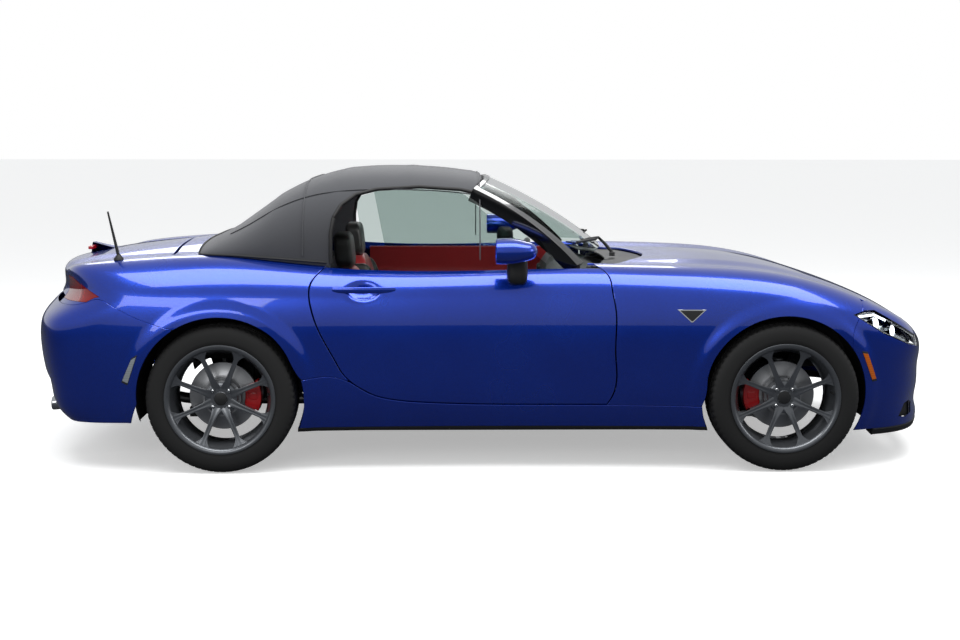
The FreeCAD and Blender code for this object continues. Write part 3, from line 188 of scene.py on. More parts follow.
class Skin:
    """The body's outer walls, with the same stations as the CAD source."""

    plan = Curve((TAIL, 585), (TAIL + 110, 742), (TAIL + 260, 805), (TAIL + 460, 848),
                 (REAR_AXLE, HALF_WIDTH), (REAR_AXLE + 380, 846), (REAR_AXLE + 780, 827),
                 (DOOR_FRONT - 430, 822), (DOOR_FRONT, 830), (FRONT_AXLE - 330, 842), (FRONT_AXLE, 849),
                 (FRONT_AXLE + 270, 830), (NOSE - 300, 785), (NOSE - 160, 718), (NOSE - 60, 640),
                 (NOSE, 580))
    inset = Curve((130, 78), (180, 58), (280, 26), (400, 8), (520, 0), (640, 4), (740, 22), (800, 46),
                  (850, 80), (900, 125), (960, 190))
    centre = Curve(
        (TAIL, 752), (TAIL + 60, 808), (TAIL + 110, 826), (TAIL + 300, 863), (TAIL + 580, 898),
        (REAR_AXLE - 115, 918), (REAR_AXLE + 180, 900), (REAR_AXLE + 440, 862), (REAR_AXLE + 980, 840),
        (COWL - 350, 838), (COWL, 833), (FRONT_AXLE - 330, 838), (FRONT_AXLE - 130, 830),
        (FRONT_AXLE + 70, 800), (FRONT_AXLE + 270, 744), (NOSE - 257, 667), (NOSE - 102, 585), (NOSE, 508))
    crest = Curve(
        (TAIL, 730), (TAIL + 110, 797), (TAIL + 210, 830), (TAIL + 335, 852), (TAIL + 540, 871),
        (REAR_AXLE - 80, 882), (REAR_AXLE + 180, 869), (REAR_AXLE + 440, 846), (REAR_AXLE + 980, 833),
        (DOOR_FRONT - 140, 842), (DOOR_FRONT + 120, 838), (FRONT_AXLE - 250, 828),
        (FRONT_AXLE - 15, 806), (FRONT_AXLE + 190, 760), (FRONT_AXLE + 370, 694), (NOSE - 157, 590),
        (NOSE, 490))
    crest_y = HALF_WIDTH - 248
    valley = 11
    shoulder_drop, shoulder_run = 130, 250
    corner_round, edge_round = 200, 70
    nose_inset = Curve((140, 10), (184, 3), (229, 13), (319, 7), (409, 6), (454, 0), (500, 3), (580, 28))
    tail_inset = Curve((150, 150), (228, 58), (318, 30), (408, 12), (500, 0), (586, 3), (631, 20),
                       (675, 56), (719, 82), (770, 84), (830, 70))

    @classmethod
    def top(cls, x: Array, y: Array) -> Array:
        """The top wall: a centre line, a crest over the wheels and a shallow valley between."""
        across = y / cls.crest_y
        inner = mix(cls.centre(x), cls.crest(x), smooth_step(across))
        inner = inner - cls.valley * np.sin(np.pi * np.clip((across - 0.45) / 0.55, 0, 1)) ** 2
        beyond = np.maximum(y - cls.crest_y, 0) / cls.shoulder_run
        outer = cls.crest(x) - cls.shoulder_drop * beyond ** 2.5
        return np.where(across < 1, inner, outer)

    @classmethod
    def body(cls, x: Array, y: Array, z: Array) -> Array:
        """Negative inside the body: the rounded largest of side, nose, tail and top walls."""
        y = np.abs(y)
        swell = 0.0
        for axle in (FRONT_AXLE, REAR_AXLE):
            reach = np.hypot(x - axle, z - HUB_HEIGHT)
            swell = swell + FLARE_DEPTH * smooth_step((FLARE + 22 - reach) / 50)
        side = y - cls.plan(x) + cls.inset(z) - swell
        nose = x - NOSE + cls.nose_inset(z) + 0.0003 * y * y
        tail_round = 0.00025 + 0.00015 * smooth_step((z - 600) / 150)
        tail = TAIL + cls.tail_inset(z) + tail_round * y * y - x
        ring = smooth_max(side, np.maximum(nose, tail), cls.corner_round)
        return smooth_max(ring, z - cls.top(x, y), cls.edge_round)


def hit(wall: Callable[..., Array], origin: Array, way: Array, far: float = 1400.0) -> Array:
    """Where rays from inside meet a wall, by halving the stretch thirty times.

    Args:
        wall: a function of X, Y and Z that is negative inside.
        origin: the rays' starts.
        way: their directions.
        far: a length that is surely outside.

    Returns:
        The points on the wall.
    """
    origin, way = np.broadcast_arrays(origin, way)
    near = np.zeros(origin.shape[:-1])
    out = np.full(origin.shape[:-1], far)
    for _ in range(30):
        middle = (near + out) / 2
        spot = origin + way * middle[..., None]
        outside = wall(spot[..., 0], spot[..., 1], spot[..., 2]) > 0
        out = np.where(outside, middle, out)
        near = np.where(outside, near, middle)
    return origin + way * near[..., None]


def outward(wall: Callable[..., Array], p: Array) -> Array:
    """The wall's outward normal: the slope of its value along X, Y and Z."""
    x, y, z = p[..., 0], p[..., 1], p[..., 2]
    return unit(vec(wall(x + 1, y, z) - wall(x - 1, y, z), wall(x, y + 1, z) - wall(x, y - 1, z),
                    wall(x, y, z + 1) - wall(x, y, z - 1)))


def on_side(x: Array, z: Array) -> Array:
    """The skin's point level with the middle plane's point at X and Z."""
    x, z = np.broadcast_arrays(np.asarray(x, float), np.asarray(z, float))
    return hit(Skin.body, vec(x, 0 * x, z), vec(0, 1, 0))


def on_top(x: Array, y: Array) -> Array:
    """The skin's point straight above a place in the plan."""
    x, y = np.broadcast_arrays(np.asarray(x, float), np.asarray(y, float))
    return hit(Skin.body, vec(x, y, 0 * x + 380), vec(0, 0, 1))


def on_section(station: Array, angle: Array) -> Array:
    """A point on the skin seen from a post inside its section.

    Args:
        station: X of the section, or, behind the tail post, how far it has swung round.
        angle: the ray's rise in radians.

    Returns:
        The point where the ray leaves the body.
    """
    swing = np.maximum(TAIL_POST - station, 0) / SWING_RADIUS
    x = np.maximum(station, TAIL_POST)
    way = vec(-np.sin(swing) * np.cos(angle), np.cos(swing) * np.cos(angle), np.sin(angle))
    return hit(Skin.body, vec(x, 0 * x + POST_Y, POST_Z), way)


def angle_of(p: Array) -> Array:
    """The rise of a skin point seen from its section's post."""
    return np.arctan2(p[..., 2] - POST_Z, p[..., 1] - POST_Y)


def level_view(post: float, angle: Array, z: Array, way: int = 1) -> Array:
    """The skin seen level from a post on the middle plane.

    Args:
        post: X of the post.
        angle: the ray's turn from straight ahead in radians.
        z: the ray's height.
        way: 1 to look to the nose, -1 to the tail.

    Returns:
        The points where the rays leave the body.
    """
    return hit(Skin.body, vec(post, 0, z), vec(way * np.cos(angle), np.sin(angle), 0))


def resample(line: Sequence[tuple[float, float]], count: int) -> Array:
    """A polyline with the same number of points on each of its stretches."""
    corners = np.array(line, float)
    at = np.linspace(0, len(corners) - 1, count)
    return np.stack([np.interp(at, np.arange(len(corners)), corners[:, k]) for k in (0, 1)], axis=-1)


door_front = Curve((273, DOOR_FRONT - 34), (290, DOOR_FRONT - 22), (493, DOOR_FRONT), (670, DOOR_FRONT),
                   (768, DOOR_FRONT - 16), (830, DOOR_FRONT - 53), (850, DOOR_FRONT - 95))
door_rear = Curve((312, DOOR_REAR + 275), (375, DOOR_REAR + 168), (457, DOOR_REAR + 107),
                  (596, DOOR_REAR + 35), (720, DOOR_REAR), (795, DOOR_REAR + 13), (860, DOOR_REAR + 86))
sill_top = Curve((REAR_AXLE + 340, 389), (DOOR_REAR + 150, 380), (DOOR_REAR + 230, 331),
                 (DOOR_REAR + 330, 299), (DOOR_REAR + 480, 284), (DOOR_FRONT, 274), (FRONT_AXLE - 350, 269))
bonnet_side = Curve((COWL - 300, 604), (COWL + 60, 612), (FRONT_AXLE, 600), (FRONT_AXLE + 220, 572),
                    (NOSE - 357, 522), (NOSE - 207, 450))
quarter_seam = Curve((TAIL, 678), (TAIL + 200, 680), (TAIL + 330, 700), (TAIL + 392, 714),
                     (TAIL + 430, 700), (TAIL + 527, 653), (REAR_AXLE - 202, 604), (REAR_AXLE, 560),
                     (REAR_AXLE + 300, 400), (DOOR_REAR + 160, 384))


def bonnet_rear(y: Array | float) -> Array | float:
    """X of the middle of the bonnet's rear shut-line, bowed back to its sides."""
    return COWL - 0.00084 * y * y


def screen_foot(y: Array | float) -> Array | float:
    """X of the windscreen's foot, bowed back to its sides."""
    return COWL - 189 - 0.00038 * y * y


def quarter_low(x: Array) -> Array:
    """The quarter's lower edge: the bumper's seam, and ahead of the arch the sill's top."""
    return np.where(x > REAR_AXLE + 250, np.maximum(quarter_seam(x), sill_top(x) + 1), quarter_seam(x))


def fender_seam(z: Array) -> Array:
    """Where the front fender meets the bumper cover, ahead of the arch."""
    return mix(FRONT_AXLE + 271, FRONT_AXLE + 331, smooth_step((z - 560) / 150)) - SEAM


def arch_reach(z: Array) -> Array:
    """Half the arch opening's width at a height: the circle's chord."""
    return np.sqrt(np.maximum(ARCH ** 2 - (z - HUB_HEIGHT) ** 2, 0))


def quarter_top(x: Array) -> Array:
    """The quarter's upper edge from above: under the soft top, then along the boot lid."""
    return mix(668, BOOT_SIDE + SHUT, smooth_step((REAR_AXLE + 130 - x) / 230))


def even(line: Array, count: int) -> Array:
    """A polyline walked at even steps of its length.

    Args:
        line: its points as station and angle pairs.
        count: how many points to return.

    Returns:
        The evenly spaced points.
    """
    scaled = line * np.array([1.0, 450.0])
    run = np.concatenate([[0], np.cumsum(np.linalg.norm(np.diff(scaled, axis=0), axis=1))])
    at = np.linspace(0, run[-1], count)
    return np.stack([np.interp(at, run, line[:, k]) for k in range(2)], axis=-1)


def coons(low: Array, top: Array, rear: Array, front: Array, across: int, along: int) -> Array:
    """A patch between four edges: the two ruled blends less the corners' bilinear blend.

    Args:
        low: the lower edge, rear to front.
        top: the upper edge, rear to front.
        rear: the rear edge, low to top.
        front: the front edge, low to top.
        across: points along the car.
        along: points from low to top.

    Returns:
        The grid of station and angle pairs.
    """
    low, top = even(low, across), even(top, across)
    rear, front = even(rear, along), even(front, along)
    u = np.linspace(0, 1, across)[:, None, None]
    v = np.linspace(0, 1, along)[None, :, None]
    ruled = (1 - v) * low[:, None] + v * top[:, None] + (1 - u) * rear[None] + u * front[None]
    corners = (1 - u) * ((1 - v) * low[0] + v * top[0]) + u * ((1 - v) * low[-1] + v * top[-1])
    return ruled - corners


def upright_edge(line: Callable[[Array], Array], low: Array, high: Array, count: int = 40) -> Array:
    """A side edge that follows an upright shut-line between two angles.

    Args:
        line: X of the shut-line at a height.
        low: the edge's lower end as station and angle.
        high: its upper end as station and angle.
        count: how many points.

    Returns:
        The edge as station and angle pairs.
    """
    angle = np.linspace(low[1], high[1], count)
    x = np.linspace(low[0], high[0], count)
    for _ in range(6):
        x = line(on_section(x, angle)[..., 2])
    return np.stack([x, angle], axis=-1)


def corner(line: Callable[[Array], Array], meet: Callable[[Array], Array], start: float) -> Array:
    """Where an upright shut-line crosses an edge given as points along X.

    Args:
        line: X of the shut-line at a height.
        meet: the skin point of the edge at an X.
        start: a first guess of X.

    Returns:
        The crossing as station and angle.
    """
    x = np.array(start, float)
    for _ in range(12):
        p = meet(x)
        x = line(p[..., 2])
    return np.array([float(x), float(angle_of(meet(x)))])


def edge_along(x: Array, place: Callable[[Array], Array]) -> Array:
    """An edge along the car as station and angle pairs, from skin points."""
    return np.stack([x, angle_of(place(x))], axis=-1)


def arch_edge(axle: float, start: float, end: float, count: int = 60) -> Array:
    """The wheel arch's lip as station and angle pairs, walked by its angle about the hub.

    Args:
        axle: X of the axle.
        start: first angle in radians, from the rearward level up and over.
        end: last angle.
        count: how many points.

    Returns:
        The lip's points.
    """
    turn = np.linspace(start, end, count)
    x = axle - ARCH * np.cos(turn)
    z = HUB_HEIGHT + ARCH * np.sin(turn)
    return np.stack([x, angle_of(on_side(x, z))], axis=-1)


def linear(code: str) -> tuple[float, float, float, float]:
    """Turns an sRGB hex colour to the linear colour the shader takes.

    Args:
        code: six hex digits.

    Returns:
        Red, green, blue and a full alpha.
    """
    parts = [int(code[i:i + 2], 16) / 255 for i in (0, 2, 4)]
    r, g, b = [p / 12.92 if p <= 0.04045 else ((p + 0.055) / 1.055) ** 2.4 for p in parts]
    return r, g, b, 1.0


def add(tree: bpy.types.NodeTree, kind: str, links: Optional[dict] = None,
        **settings: object) -> bpy.types.Node:
    """Adds one shader node with its settings and links.

    Args:
        tree: the material's node tree.
        kind: the node's type name without its ShaderNode prefix.
        links: socket name or number to another node's output, or to a plain value.
        settings: attributes set on the node.

    Returns:
        The node.
    """
    node = tree.nodes.new("ShaderNode" + kind)
    for name, value in settings.items():
        setattr(node, name, value)
    for socket, value in (links or {}).items():
        if isinstance(value, bpy.types.NodeSocket):
            tree.links.new(value, node.inputs[socket])
        else:
            node.inputs[socket].default_value = value
    return node


class Grain(Enum):
    """The surface pattern of a finish."""

    NONE = 0
    NOISE = 1
    FLAKE = 2
    WEAVE = 3
    PORES = 4
    RINGS = 5
    CASTING = 6
    FLUTES = 7


@dataclass(frozen=True)
class Finish:
    """A finish as it is made: its colour, its gloss and the fine pattern of its surface."""

    name: str
    colour: str
    second: str = ""
    metallic: float = 0.0
    roughness: float = 0.5
    coat: float = 0.0
    coat_roughness: float = 0.03
    sheen: float = 0.0
    ior: float = 1.5
    transmission: float = 0.0
    glow: float = 0.0
    grain: Grain = Grain.NONE
    pitch: float = 1.0
    depth: float = 0.1
    centre: tuple[float, float, float] = (0.0, 0.0, 0.0)

    def material(self) -> bpy.types.Material:
        """Builds the material once and returns it after that."""
        known = bpy.data.materials.get(self.name)
        if known:
            return known
        made = bpy.data.materials.new(self.name)
        made.use_nodes = True
        tree = made.node_tree
        shader = tree.nodes["Principled BSDF"]
        shader.inputs["Base Color"].default_value = linear(self.colour)
        shader.inputs["Metallic"].default_value = self.metallic
        shader.inputs["Roughness"].default_value = self.roughness
        shader.inputs["Coat Weight"].default_value = self.coat
        shader.inputs["Coat Roughness"].default_value = self.coat_roughness
        shader.inputs["Sheen Weight"].default_value = self.sheen
        shader.inputs["Transmission Weight"].default_value = self.transmission
        if self.metallic < 0.5:
            shader.inputs["IOR"].default_value = self.ior
        if self.glow:
            shader.inputs["Emission Color"].default_value = linear(self.colour)
            shader.inputs["Emission Strength"].default_value = self.glow
        if self.grain is not Grain.NONE:
            self._pattern(tree, shader)
        return made

    def _pattern(self, tree: bpy.types.NodeTree, shader: bpy.types.Node) -> None:
        """Adds the surface pattern: its height to a bump, its shade to the colour and gloss."""
        place = add(tree, "TexCoord").outputs["Object"]
        centred = add(tree, "Mapping", {"Vector": place, "Location": tuple(-c for c in self.centre)})
        where = centred.outputs["Vector"]
        scale = 1000.0 / self.pitch
        if self.grain is Grain.FLAKE:
            height = add(tree, "TexVoronoi", {"Vector": where, "Scale": scale}).outputs["Color"]
            height = add(tree, "SeparateColor", {"Color": height}).outputs["Red"]
        elif self.grain is Grain.WEAVE:
            turned = add(tree, "Mapping", {"Vector": where, "Rotation": (0.0, 0.0, math.radians(45))})
            twill = [add(tree, "TexWave", {"Vector": turned.outputs["Vector"], "Scale": 2 * scale / WAVE,
                                           "Distortion": 0.6, "Detail": 1.0},
                         bands_direction=axis).outputs["Fac"] for axis in ("X", "Z")]
            height = add(tree, "Math", {0: twill[0], 1: twill[1]}, operation="MULTIPLY").outputs["Value"]
        elif self.grain is Grain.PORES:
            height = add(tree, "TexVoronoi", {"Vector": where, "Scale": scale},
                         feature="DISTANCE_TO_EDGE").outputs["Distance"]
        elif self.grain is Grain.RINGS:
            height = add(tree, "TexWave", {"Vector": where, "Scale": scale / WAVE, "Distortion": 0.3},
                         wave_type="RINGS", rings_direction="Y").outputs["Fac"]
        elif self.grain is Grain.FLUTES:
            height = add(tree, "TexWave", {"Vector": where, "Scale": scale / WAVE},
                         bands_direction="Z").outputs["Fac"]
        else:
            height = add(tree, "TexNoise", {"Vector": where, "Scale": scale, "Detail": 3.0}).outputs["Fac"]
        broad = add(tree, "TexNoise", {"Vector": where, "Scale": 3.0, "Detail": 2.0}).outputs["Fac"]
        blend = add(tree, "Math", {0: height, 1: broad}, operation="MULTIPLY").outputs["Value"]
        if self.second:
            shades = add(tree, "Mix", {0: blend, 6: linear(self.colour), 7: linear(self.second)},
                         data_type="RGBA")
            tree.links.new(shades.outputs[2], shader.inputs["Base Color"])
        gloss = add(tree, "MapRange", {"Value": broad, "To Min": max(self.roughness - 0.05, 0.02),
                                       "To Max": min(self.roughness + 0.05, 1.0)})
        tree.links.new(gloss.outputs["Result"], shader.inputs["Roughness"])
        bump = add(tree, "Bump", {"Height": height, "Strength": 0.6, "Distance": self.depth * MM})
        tree.links.new(bump.outputs["Normal"], shader.inputs["Normal"])


# Three-coat metallic car paint: blue base with fine aluminium flake under clear lacquer.
PAINT = Finish("metallic_paint_lacquered", "0730A0", "0F48C8", metallic=0.75, roughness=0.26, coat=1.0,
               grain=Grain.FLAKE, pitch=1.4, depth=0.012)
# Acrylic canvas hood cloth, dyed in the yarn, woven in a twill of about 1 mm; drawn at 2 mm to show.
CANVAS = Finish("hood_canvas_twill", "35363A", "4E5054", roughness=0.95, sheen=0.25, grain=Grain.WEAVE,
                pitch=2.2, depth=0.35)
# Black ABS with a moulded grain of about 0.8 mm.
BLACK = Finish("black_abs_grained", "121314", "1B1C1E", roughness=0.5, grain=Grain.NOISE, pitch=1.6,
               depth=0.08)
# Piano-black moulding round the screen, lightly waved like moulded plastic.
GLOSS = Finish("black_trim_gloss", "08090A", "0C0D0F", roughness=0.12, coat=0.5, grain=Grain.NOISE,
               pitch=60, depth=0.05)
# Needled fibre lining of the wheel arches.
LINER = Finish("arch_lining_fibre", "0B0B0C", "151516", roughness=0.95, grain=Grain.NOISE, pitch=4,
               depth=0.6)
# Vulcanised tread and side-wall rubber, dull with a fine mould texture.
RUBBER = Finish("tyre_rubber", "0C0C0C", "131313", roughness=0.72, grain=Grain.NOISE, pitch=3, depth=0.12)
# Weatherstrip rubber.
SEAL = Finish("door_seal_rubber", "0A0A0B", "111112", roughness=0.6, grain=Grain.NOISE, pitch=2, depth=0.05)
# Cast alloy wheel in dark gunmetal lacquer.
GUNMETAL = Finish("wheel_gunmetal_lacquer", "5E6165", "6E7176", metallic=0.75, roughness=0.32, coat=0.6,
                  grain=Grain.FLAKE, pitch=1.6, depth=0.01)
# Chromed steel wheel nuts and exhaust tips, polished.
CHROME = Finish("polished_chrome", "C9CBCD", "B9BBBE", metallic=1.0, roughness=0.08, grain=Grain.NOISE,
                pitch=25, depth=0.01)
# Grey cast-iron discs with turned friction rings about each axle.
IRON_FRONT = Finish("turned_cast_iron_front", "8C8D8F", "A9AAAC", metallic=1.0, roughness=0.35,
                    grain=Grain.RINGS, pitch=2.2, depth=0.08,
                    centre=(FRONT_AXLE * MM, 0.0, HUB_HEIGHT * MM))
IRON_REAR = Finish("turned_cast_iron_rear", "8C8D8F", "A9AAAC", metallic=1.0, roughness=0.35,
                   grain=Grain.RINGS, pitch=2.2, depth=0.08,
                   centre=(REAR_AXLE * MM, 0.0, HUB_HEIGHT * MM))
# Red reflector moulding behind the tail lenses.
RED_ENAMEL = Finish("lamp_reflector_red", "9A0A10", "B51218", roughness=0.25, coat=0.6,
                    grain=Grain.FLUTES, pitch=8, depth=0.3)
# Caliper enamel, baked red over a casting.
CALIPER = Finish("caliper_red_enamel", "B00F14", "C4171B", roughness=0.3, coat=0.5, grain=Grain.NOISE,
                 pitch=9, depth=0.15)
# Sand-cast aluminium of the engine and the knuckles.
CAST = Finish("cast_aluminium", "8A8C8E", "A2A4A6", metallic=1.0, roughness=0.55, grain=Grain.CASTING,
              pitch=5, depth=0.4)
# Cathodic dip coat on pressed steel: satin black-blue.
COATED = Finish("chassis_dip_coat", "17181A", "232427", roughness=0.6, grain=Grain.NOISE, pitch=14,
                depth=0.3)
# Aluminised steel exhaust.
STEEL = Finish("aluminised_steel", "9A9A98", "7F7F7D", metallic=1.0, roughness=0.42, grain=Grain.NOISE,
               pitch=12, depth=0.1)
# Laminated screen and tempered side glass, tinted a little green-grey.
GLASS = Finish("tinted_glass", "C4CFCC", roughness=0.0, transmission=1.0, ior=1.01)
# Heated rear screen.
DARK_GLASS = Finish("rear_screen_glass", "6C7473", roughness=0.02, transmission=1.0, ior=1.01)
# Clear polycarbonate lamp lens with a hard coat.
LENS = Finish("lamp_lens_clear", "F2F5F7", roughness=0.02, transmission=1.0, ior=1.02)
# Red moulded lens of the tail lamps.
RED_LENS = Finish("lamp_lens_red", "8C070C", roughness=0.06, coat=1.0, transmission=0.3, ior=1.1)
# Grey-clear fluted marker lens: dull beside the paint when unlit.
SMOKE = Finish("marker_lens_smoke", "8E9498", "7A8084", roughness=0.12, grain=Grain.FLUTES, pitch=5,
               depth=0.3)
# Amber fluted marker lens of the front bumper.
AMBER = Finish("marker_lens_amber", "C25A10", "D8741C", roughness=0.15, coat=0.6, grain=Grain.FLUTES,
               pitch=5, depth=0.3)
# Vacuum-metallised lamp bowl.
BOWL = Finish("lamp_bowl_metallised", "9EA2A6", "83878B", metallic=1.0, roughness=0.2, grain=Grain.FLUTES,
              pitch=9, depth=0.4)
# Lit lamps: the colours the eye takes for white, red and amber light by day.
WHITE_LIGHT = Finish("lamp_white_lit", "F4F8FF", glow=2.2)
RED_LIGHT = Finish("lamp_red_lit", "FF1508", glow=3.0)
AMBER_LIGHT = Finish("lamp_amber_lit", "FF8A10", glow=3.5)
# Full-grain leather, pigmented red, pore pattern near 1.5 mm.
RED_LEATHER = Finish("red_leather", "8E1F23", "A5282B", roughness=0.45, sheen=0.1, grain=Grain.PORES,
                     pitch=3, depth=0.25)
# The same hide dyed black, for bolsters, armrests and headrests.
BLACK_LEATHER = Finish("black_leather", "151515", "1F1F1F", roughness=0.5, sheen=0.1, grain=Grain.PORES,
                       pitch=3, depth=0.25)
# Slush-moulded soft dashboard skin.
SOFT_SKIN = Finish("dashboard_soft_skin", "18191A", "222325", roughness=0.65, grain=Grain.PORES, pitch=2.5,
                   depth=0.15)
# Silvered mirror glass.
MIRROR = Finish("mirror_silver", "DDE2E4", "D5DADC", metallic=1.0, roughness=0.02, grain=Grain.NOISE,
                pitch=300, depth=0.005)
# Pale seamless studio floor.
FLOOR = Finish("studio_floor", "EDEDEC", "F2F2F1", roughness=0.8, grain=Grain.NOISE, pitch=40, depth=0.05)


def grid_faces(across: int, along: int, wrap_across: bool = False, wrap_along: bool = False) -> Array:
    """The quads of a grid of points, as rows of four indices.

    Args:
        across: points in the first direction.
        along: points in the second direction.
        wrap_across: whether the last row joins the first.
        wrap_along: whether the last column joins the first.

    Returns:
        One row of four indices for each face.
    """
    i = np.arange(across if wrap_across else across - 1)[:, None]
    j = np.arange(along if wrap_along else along - 1)[None, :]
    i2, j2 = (i + 1) % across, (j + 1) % along
    corners = np.broadcast_arrays(i * along + j, i2 * along + j, i2 * along + j2, i * along + j2)
    return np.stack(corners, axis=-1).reshape(-1, 4)


def volume_sign(points: Array, faces: Array) -> float:
    """The sign of a closed mesh's volume: the sum of its faces' corner triple products."""
    a, b, c, d = (points[faces[:, k]] for k in range(4))
    return float(np.einsum("ij,ij->i", a, np.cross(b, c) + np.cross(c, d)).sum())


def make(name: str, parts: Iterable[tuple[Array, Array]], finish: Finish, body: str,
         nodes: Sequence[str] = (), side: Side = Side.LEFT, closed: bool = True,
         sharp: float = CRISP) -> bpy.types.Object:
    """Makes one Blender piece from point and quad arrays and lets it ride on a body.

    Args:
        name: the piece's name.
        parts: point arrays in millimetres with their quads, made for the left side.
        finish: the finish it takes.
        body: the body it rides on.
        nodes: CAD nodes it stands for.
        side: the side the parts are carried to.
        closed: whether each part encloses a volume and can be turned the right way by it.
        sharp: edges steeper than this in degrees stay crisp.

    Returns:
        The object.
    """
    all_points, all_faces, base = [], [], 0
    for points, faces in parts:
        points = other_side(points.reshape(-1, 3), side)
        if closed and volume_sign(points - points.mean(axis=0), faces) < 0:
            faces = faces[:, ::-1]
        all_points.append(points)
        all_faces.append(faces + base)
        base += len(points)
    mesh = bpy.data.meshes.new(name)
    mesh.from_pydata((np.concatenate(all_points) * MM).tolist(), [], np.concatenate(all_faces).tolist())
    mesh.validate()
    piece = bpy.data.objects.new(name, mesh)
    bpy.context.scene.collection.objects.link(piece)
    mesh.shade_smooth()
    mesh.set_sharp_from_angle(angle=math.radians(sharp))
    mesh.materials.append(finish.material())
    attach(piece, body)
    if nodes:
        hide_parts(*nodes)
    LOG.info("%s on %s, %d faces", name, body, len(mesh.polygons))
    return piece


def other_side(points: Array, side: Side) -> Array:
    """Points made for the left, carried to the side asked for."""
    return points * np.array([1.0, side.value, 1.0])


def both_sides(parts: Sequence[tuple[Array, Array]]) -> list[tuple[Array, Array]]:
    """Parts made for the left, once on each side."""
    return [(other_side(points, side), faces) for side in Side for points, faces in parts]


def boundary(across: int, along: int) -> Array:
    """Indices of a grid's rim in order, once round."""
    index = np.arange(across * along).reshape(across, along)
    return np.concatenate([index[0, :], index[1:, -1], index[-1, -2::-1], index[-2:0:-1, 0]])


def sheet(outer: Array, normals: Array, depth: float, edge: float = 2.0) -> tuple[Array, Array]:
    """A panel with thickness and a rolled edge.

    The rim is carried in from the outer face through a quarter round of the edge radius,
    then straight back along the normal to the inner face.

    Args:
        outer: grid of points on the outer face.
        normals: its outward normals.
        depth: thickness.
        edge: radius of the rolled edge.

    Returns:
        Points and quads of the closed panel.
    """
    across, along = outer.shape[:2]
    inner = outer - normals * depth
    rim = boundary(across, along)
    flat = outer.reshape(-1, 3).copy()
    flat_normals = normals.reshape(-1, 3)
    i, j = rim // along, rim % along
    inside = np.clip(i, 1, across - 2) * along + np.clip(j, 1, along - 2)
    away = unit(flat[rim] - flat[inside])
    n = flat_normals[rim]
    away = unit(away - n * np.einsum("ij,ij->i", away, n)[:, None])
    lip = flat[rim]
    rings = [lip - away * edge * 0.3 - n * edge * 0.3, lip - n * edge]
    flat[rim] = lip - away * edge
    points = np.concatenate([flat, inner.reshape(-1, 3)] + rings)
    count = len(rim)
    base = 2 * across * along
    loops = [rim, base + np.arange(count), base + count + np.arange(count), across * along + rim]
    bands = []
    for a, b in zip(loops[:-1], loops[1:]):
        bands.append(np.stack([a, np.roll(a, -1), np.roll(b, -1), b], axis=-1))
    top = grid_faces(across, along)
    back = top[:, ::-1] + across * along
    faces = np.concatenate([top[:, ::-1], back[:, ::-1]] + bands)
    return points, faces


def revolve(profile: Array, axle: float, middle: float, steps: int = 96,
            closed: bool = True) -> tuple[Array, Array]:
    """A ring about a wheel's axle: each radius and Y pair carried once round.

    Args:
        profile: radius and Y pairs.
        axle: X of the axle.
        middle: Y added to the profile.
        steps: how many times round.
        closed: whether the profile joins its own start.

    Returns:
        Points and quads.
    """
    turn = full_turn(steps)[:, None]
    r, y = profile[None, :, 0], profile[None, :, 1]
    points = vec(axle + r * np.cos(turn), middle + y + 0 * turn, HUB_HEIGHT + r * np.sin(turn))
    return points, grid_faces(steps, len(profile), True, closed)


def tube(path: Array, radius: Array | float, sides: int = 12) -> tuple[Array, Array]:
    """A round bar along a path, closed by its ends drawn to a point.

    Args:
        path: the points of its middle line.
        radius: its radius, one value or one for each point.
        sides: faces round it.

    Returns:
        Points and quads.
    """
    path = np.asarray(path, float)
    radius = np.broadcast_to(np.asarray(radius, float), (len(path),)).copy()
    ahead = unit(np.gradient(path, axis=0))
    guess = np.where(np.abs(ahead[:, 2:3]) > 0.9, np.array([[1.0, 0, 0]]), np.array([[0, 0, 1.0]]))
    side = unit(np.cross(ahead, guess))
    up = np.cross(side, ahead)
    path = np.concatenate([path[:1], path, path[-1:]])
    radius = np.concatenate([[POINTED], radius, [POINTED]])
    side = np.concatenate([side[:1], side, side[-1:]])
    up = np.concatenate([up[:1], up, up[-1:]])
    turn = full_turn(sides)[None, :, None]
    ring = side[:, None] * np.cos(turn) + up[:, None] * np.sin(turn)
    return path[:, None] + ring * radius[:, None, None], grid_faces(len(path), sides, False, True)


def rounded_box(low: Sequence[float], high: Sequence[float], power: float = 6.0,
                steps: int = 24) -> tuple[Array, Array]:
    """A soft-cornered block: a ball whose shape follows |x|^p + |y|^p + |z|^p = 1.

    Args:
        low: its lowest corner.
        high: its highest corner.
        power: how square it is.
        steps: faces from pole to pole.

    Returns:
        Points and quads.
    """
    low, high = np.array(low, float), np.array(high, float)
    rise = np.linspace(-np.pi / 2 + 0.001, np.pi / 2 - 0.001, steps)[None, :]
    turn = full_turn(steps * 2)[:, None]
    way = vec(np.cos(turn) * np.cos(rise), np.sin(turn) * np.cos(rise), np.sin(rise) + 0 * turn)
    reach = (np.abs(way) ** power).sum(axis=-1, keepdims=True) ** (-1 / power)
    points = (low + high) / 2 + way * reach * (high - low) / 2
    return points, grid_faces(steps * 2, steps, True, False)


def weld(mesh: bpy.types.Mesh) -> None:
    """Joins the points of a mesh that lie on each other."""
    work = bmesh.new()
    work.from_mesh(mesh)
    bmesh.ops.remove_doubles(work, verts=work.verts, dist=1e-6)
    work.to_mesh(mesh)
    work.free()


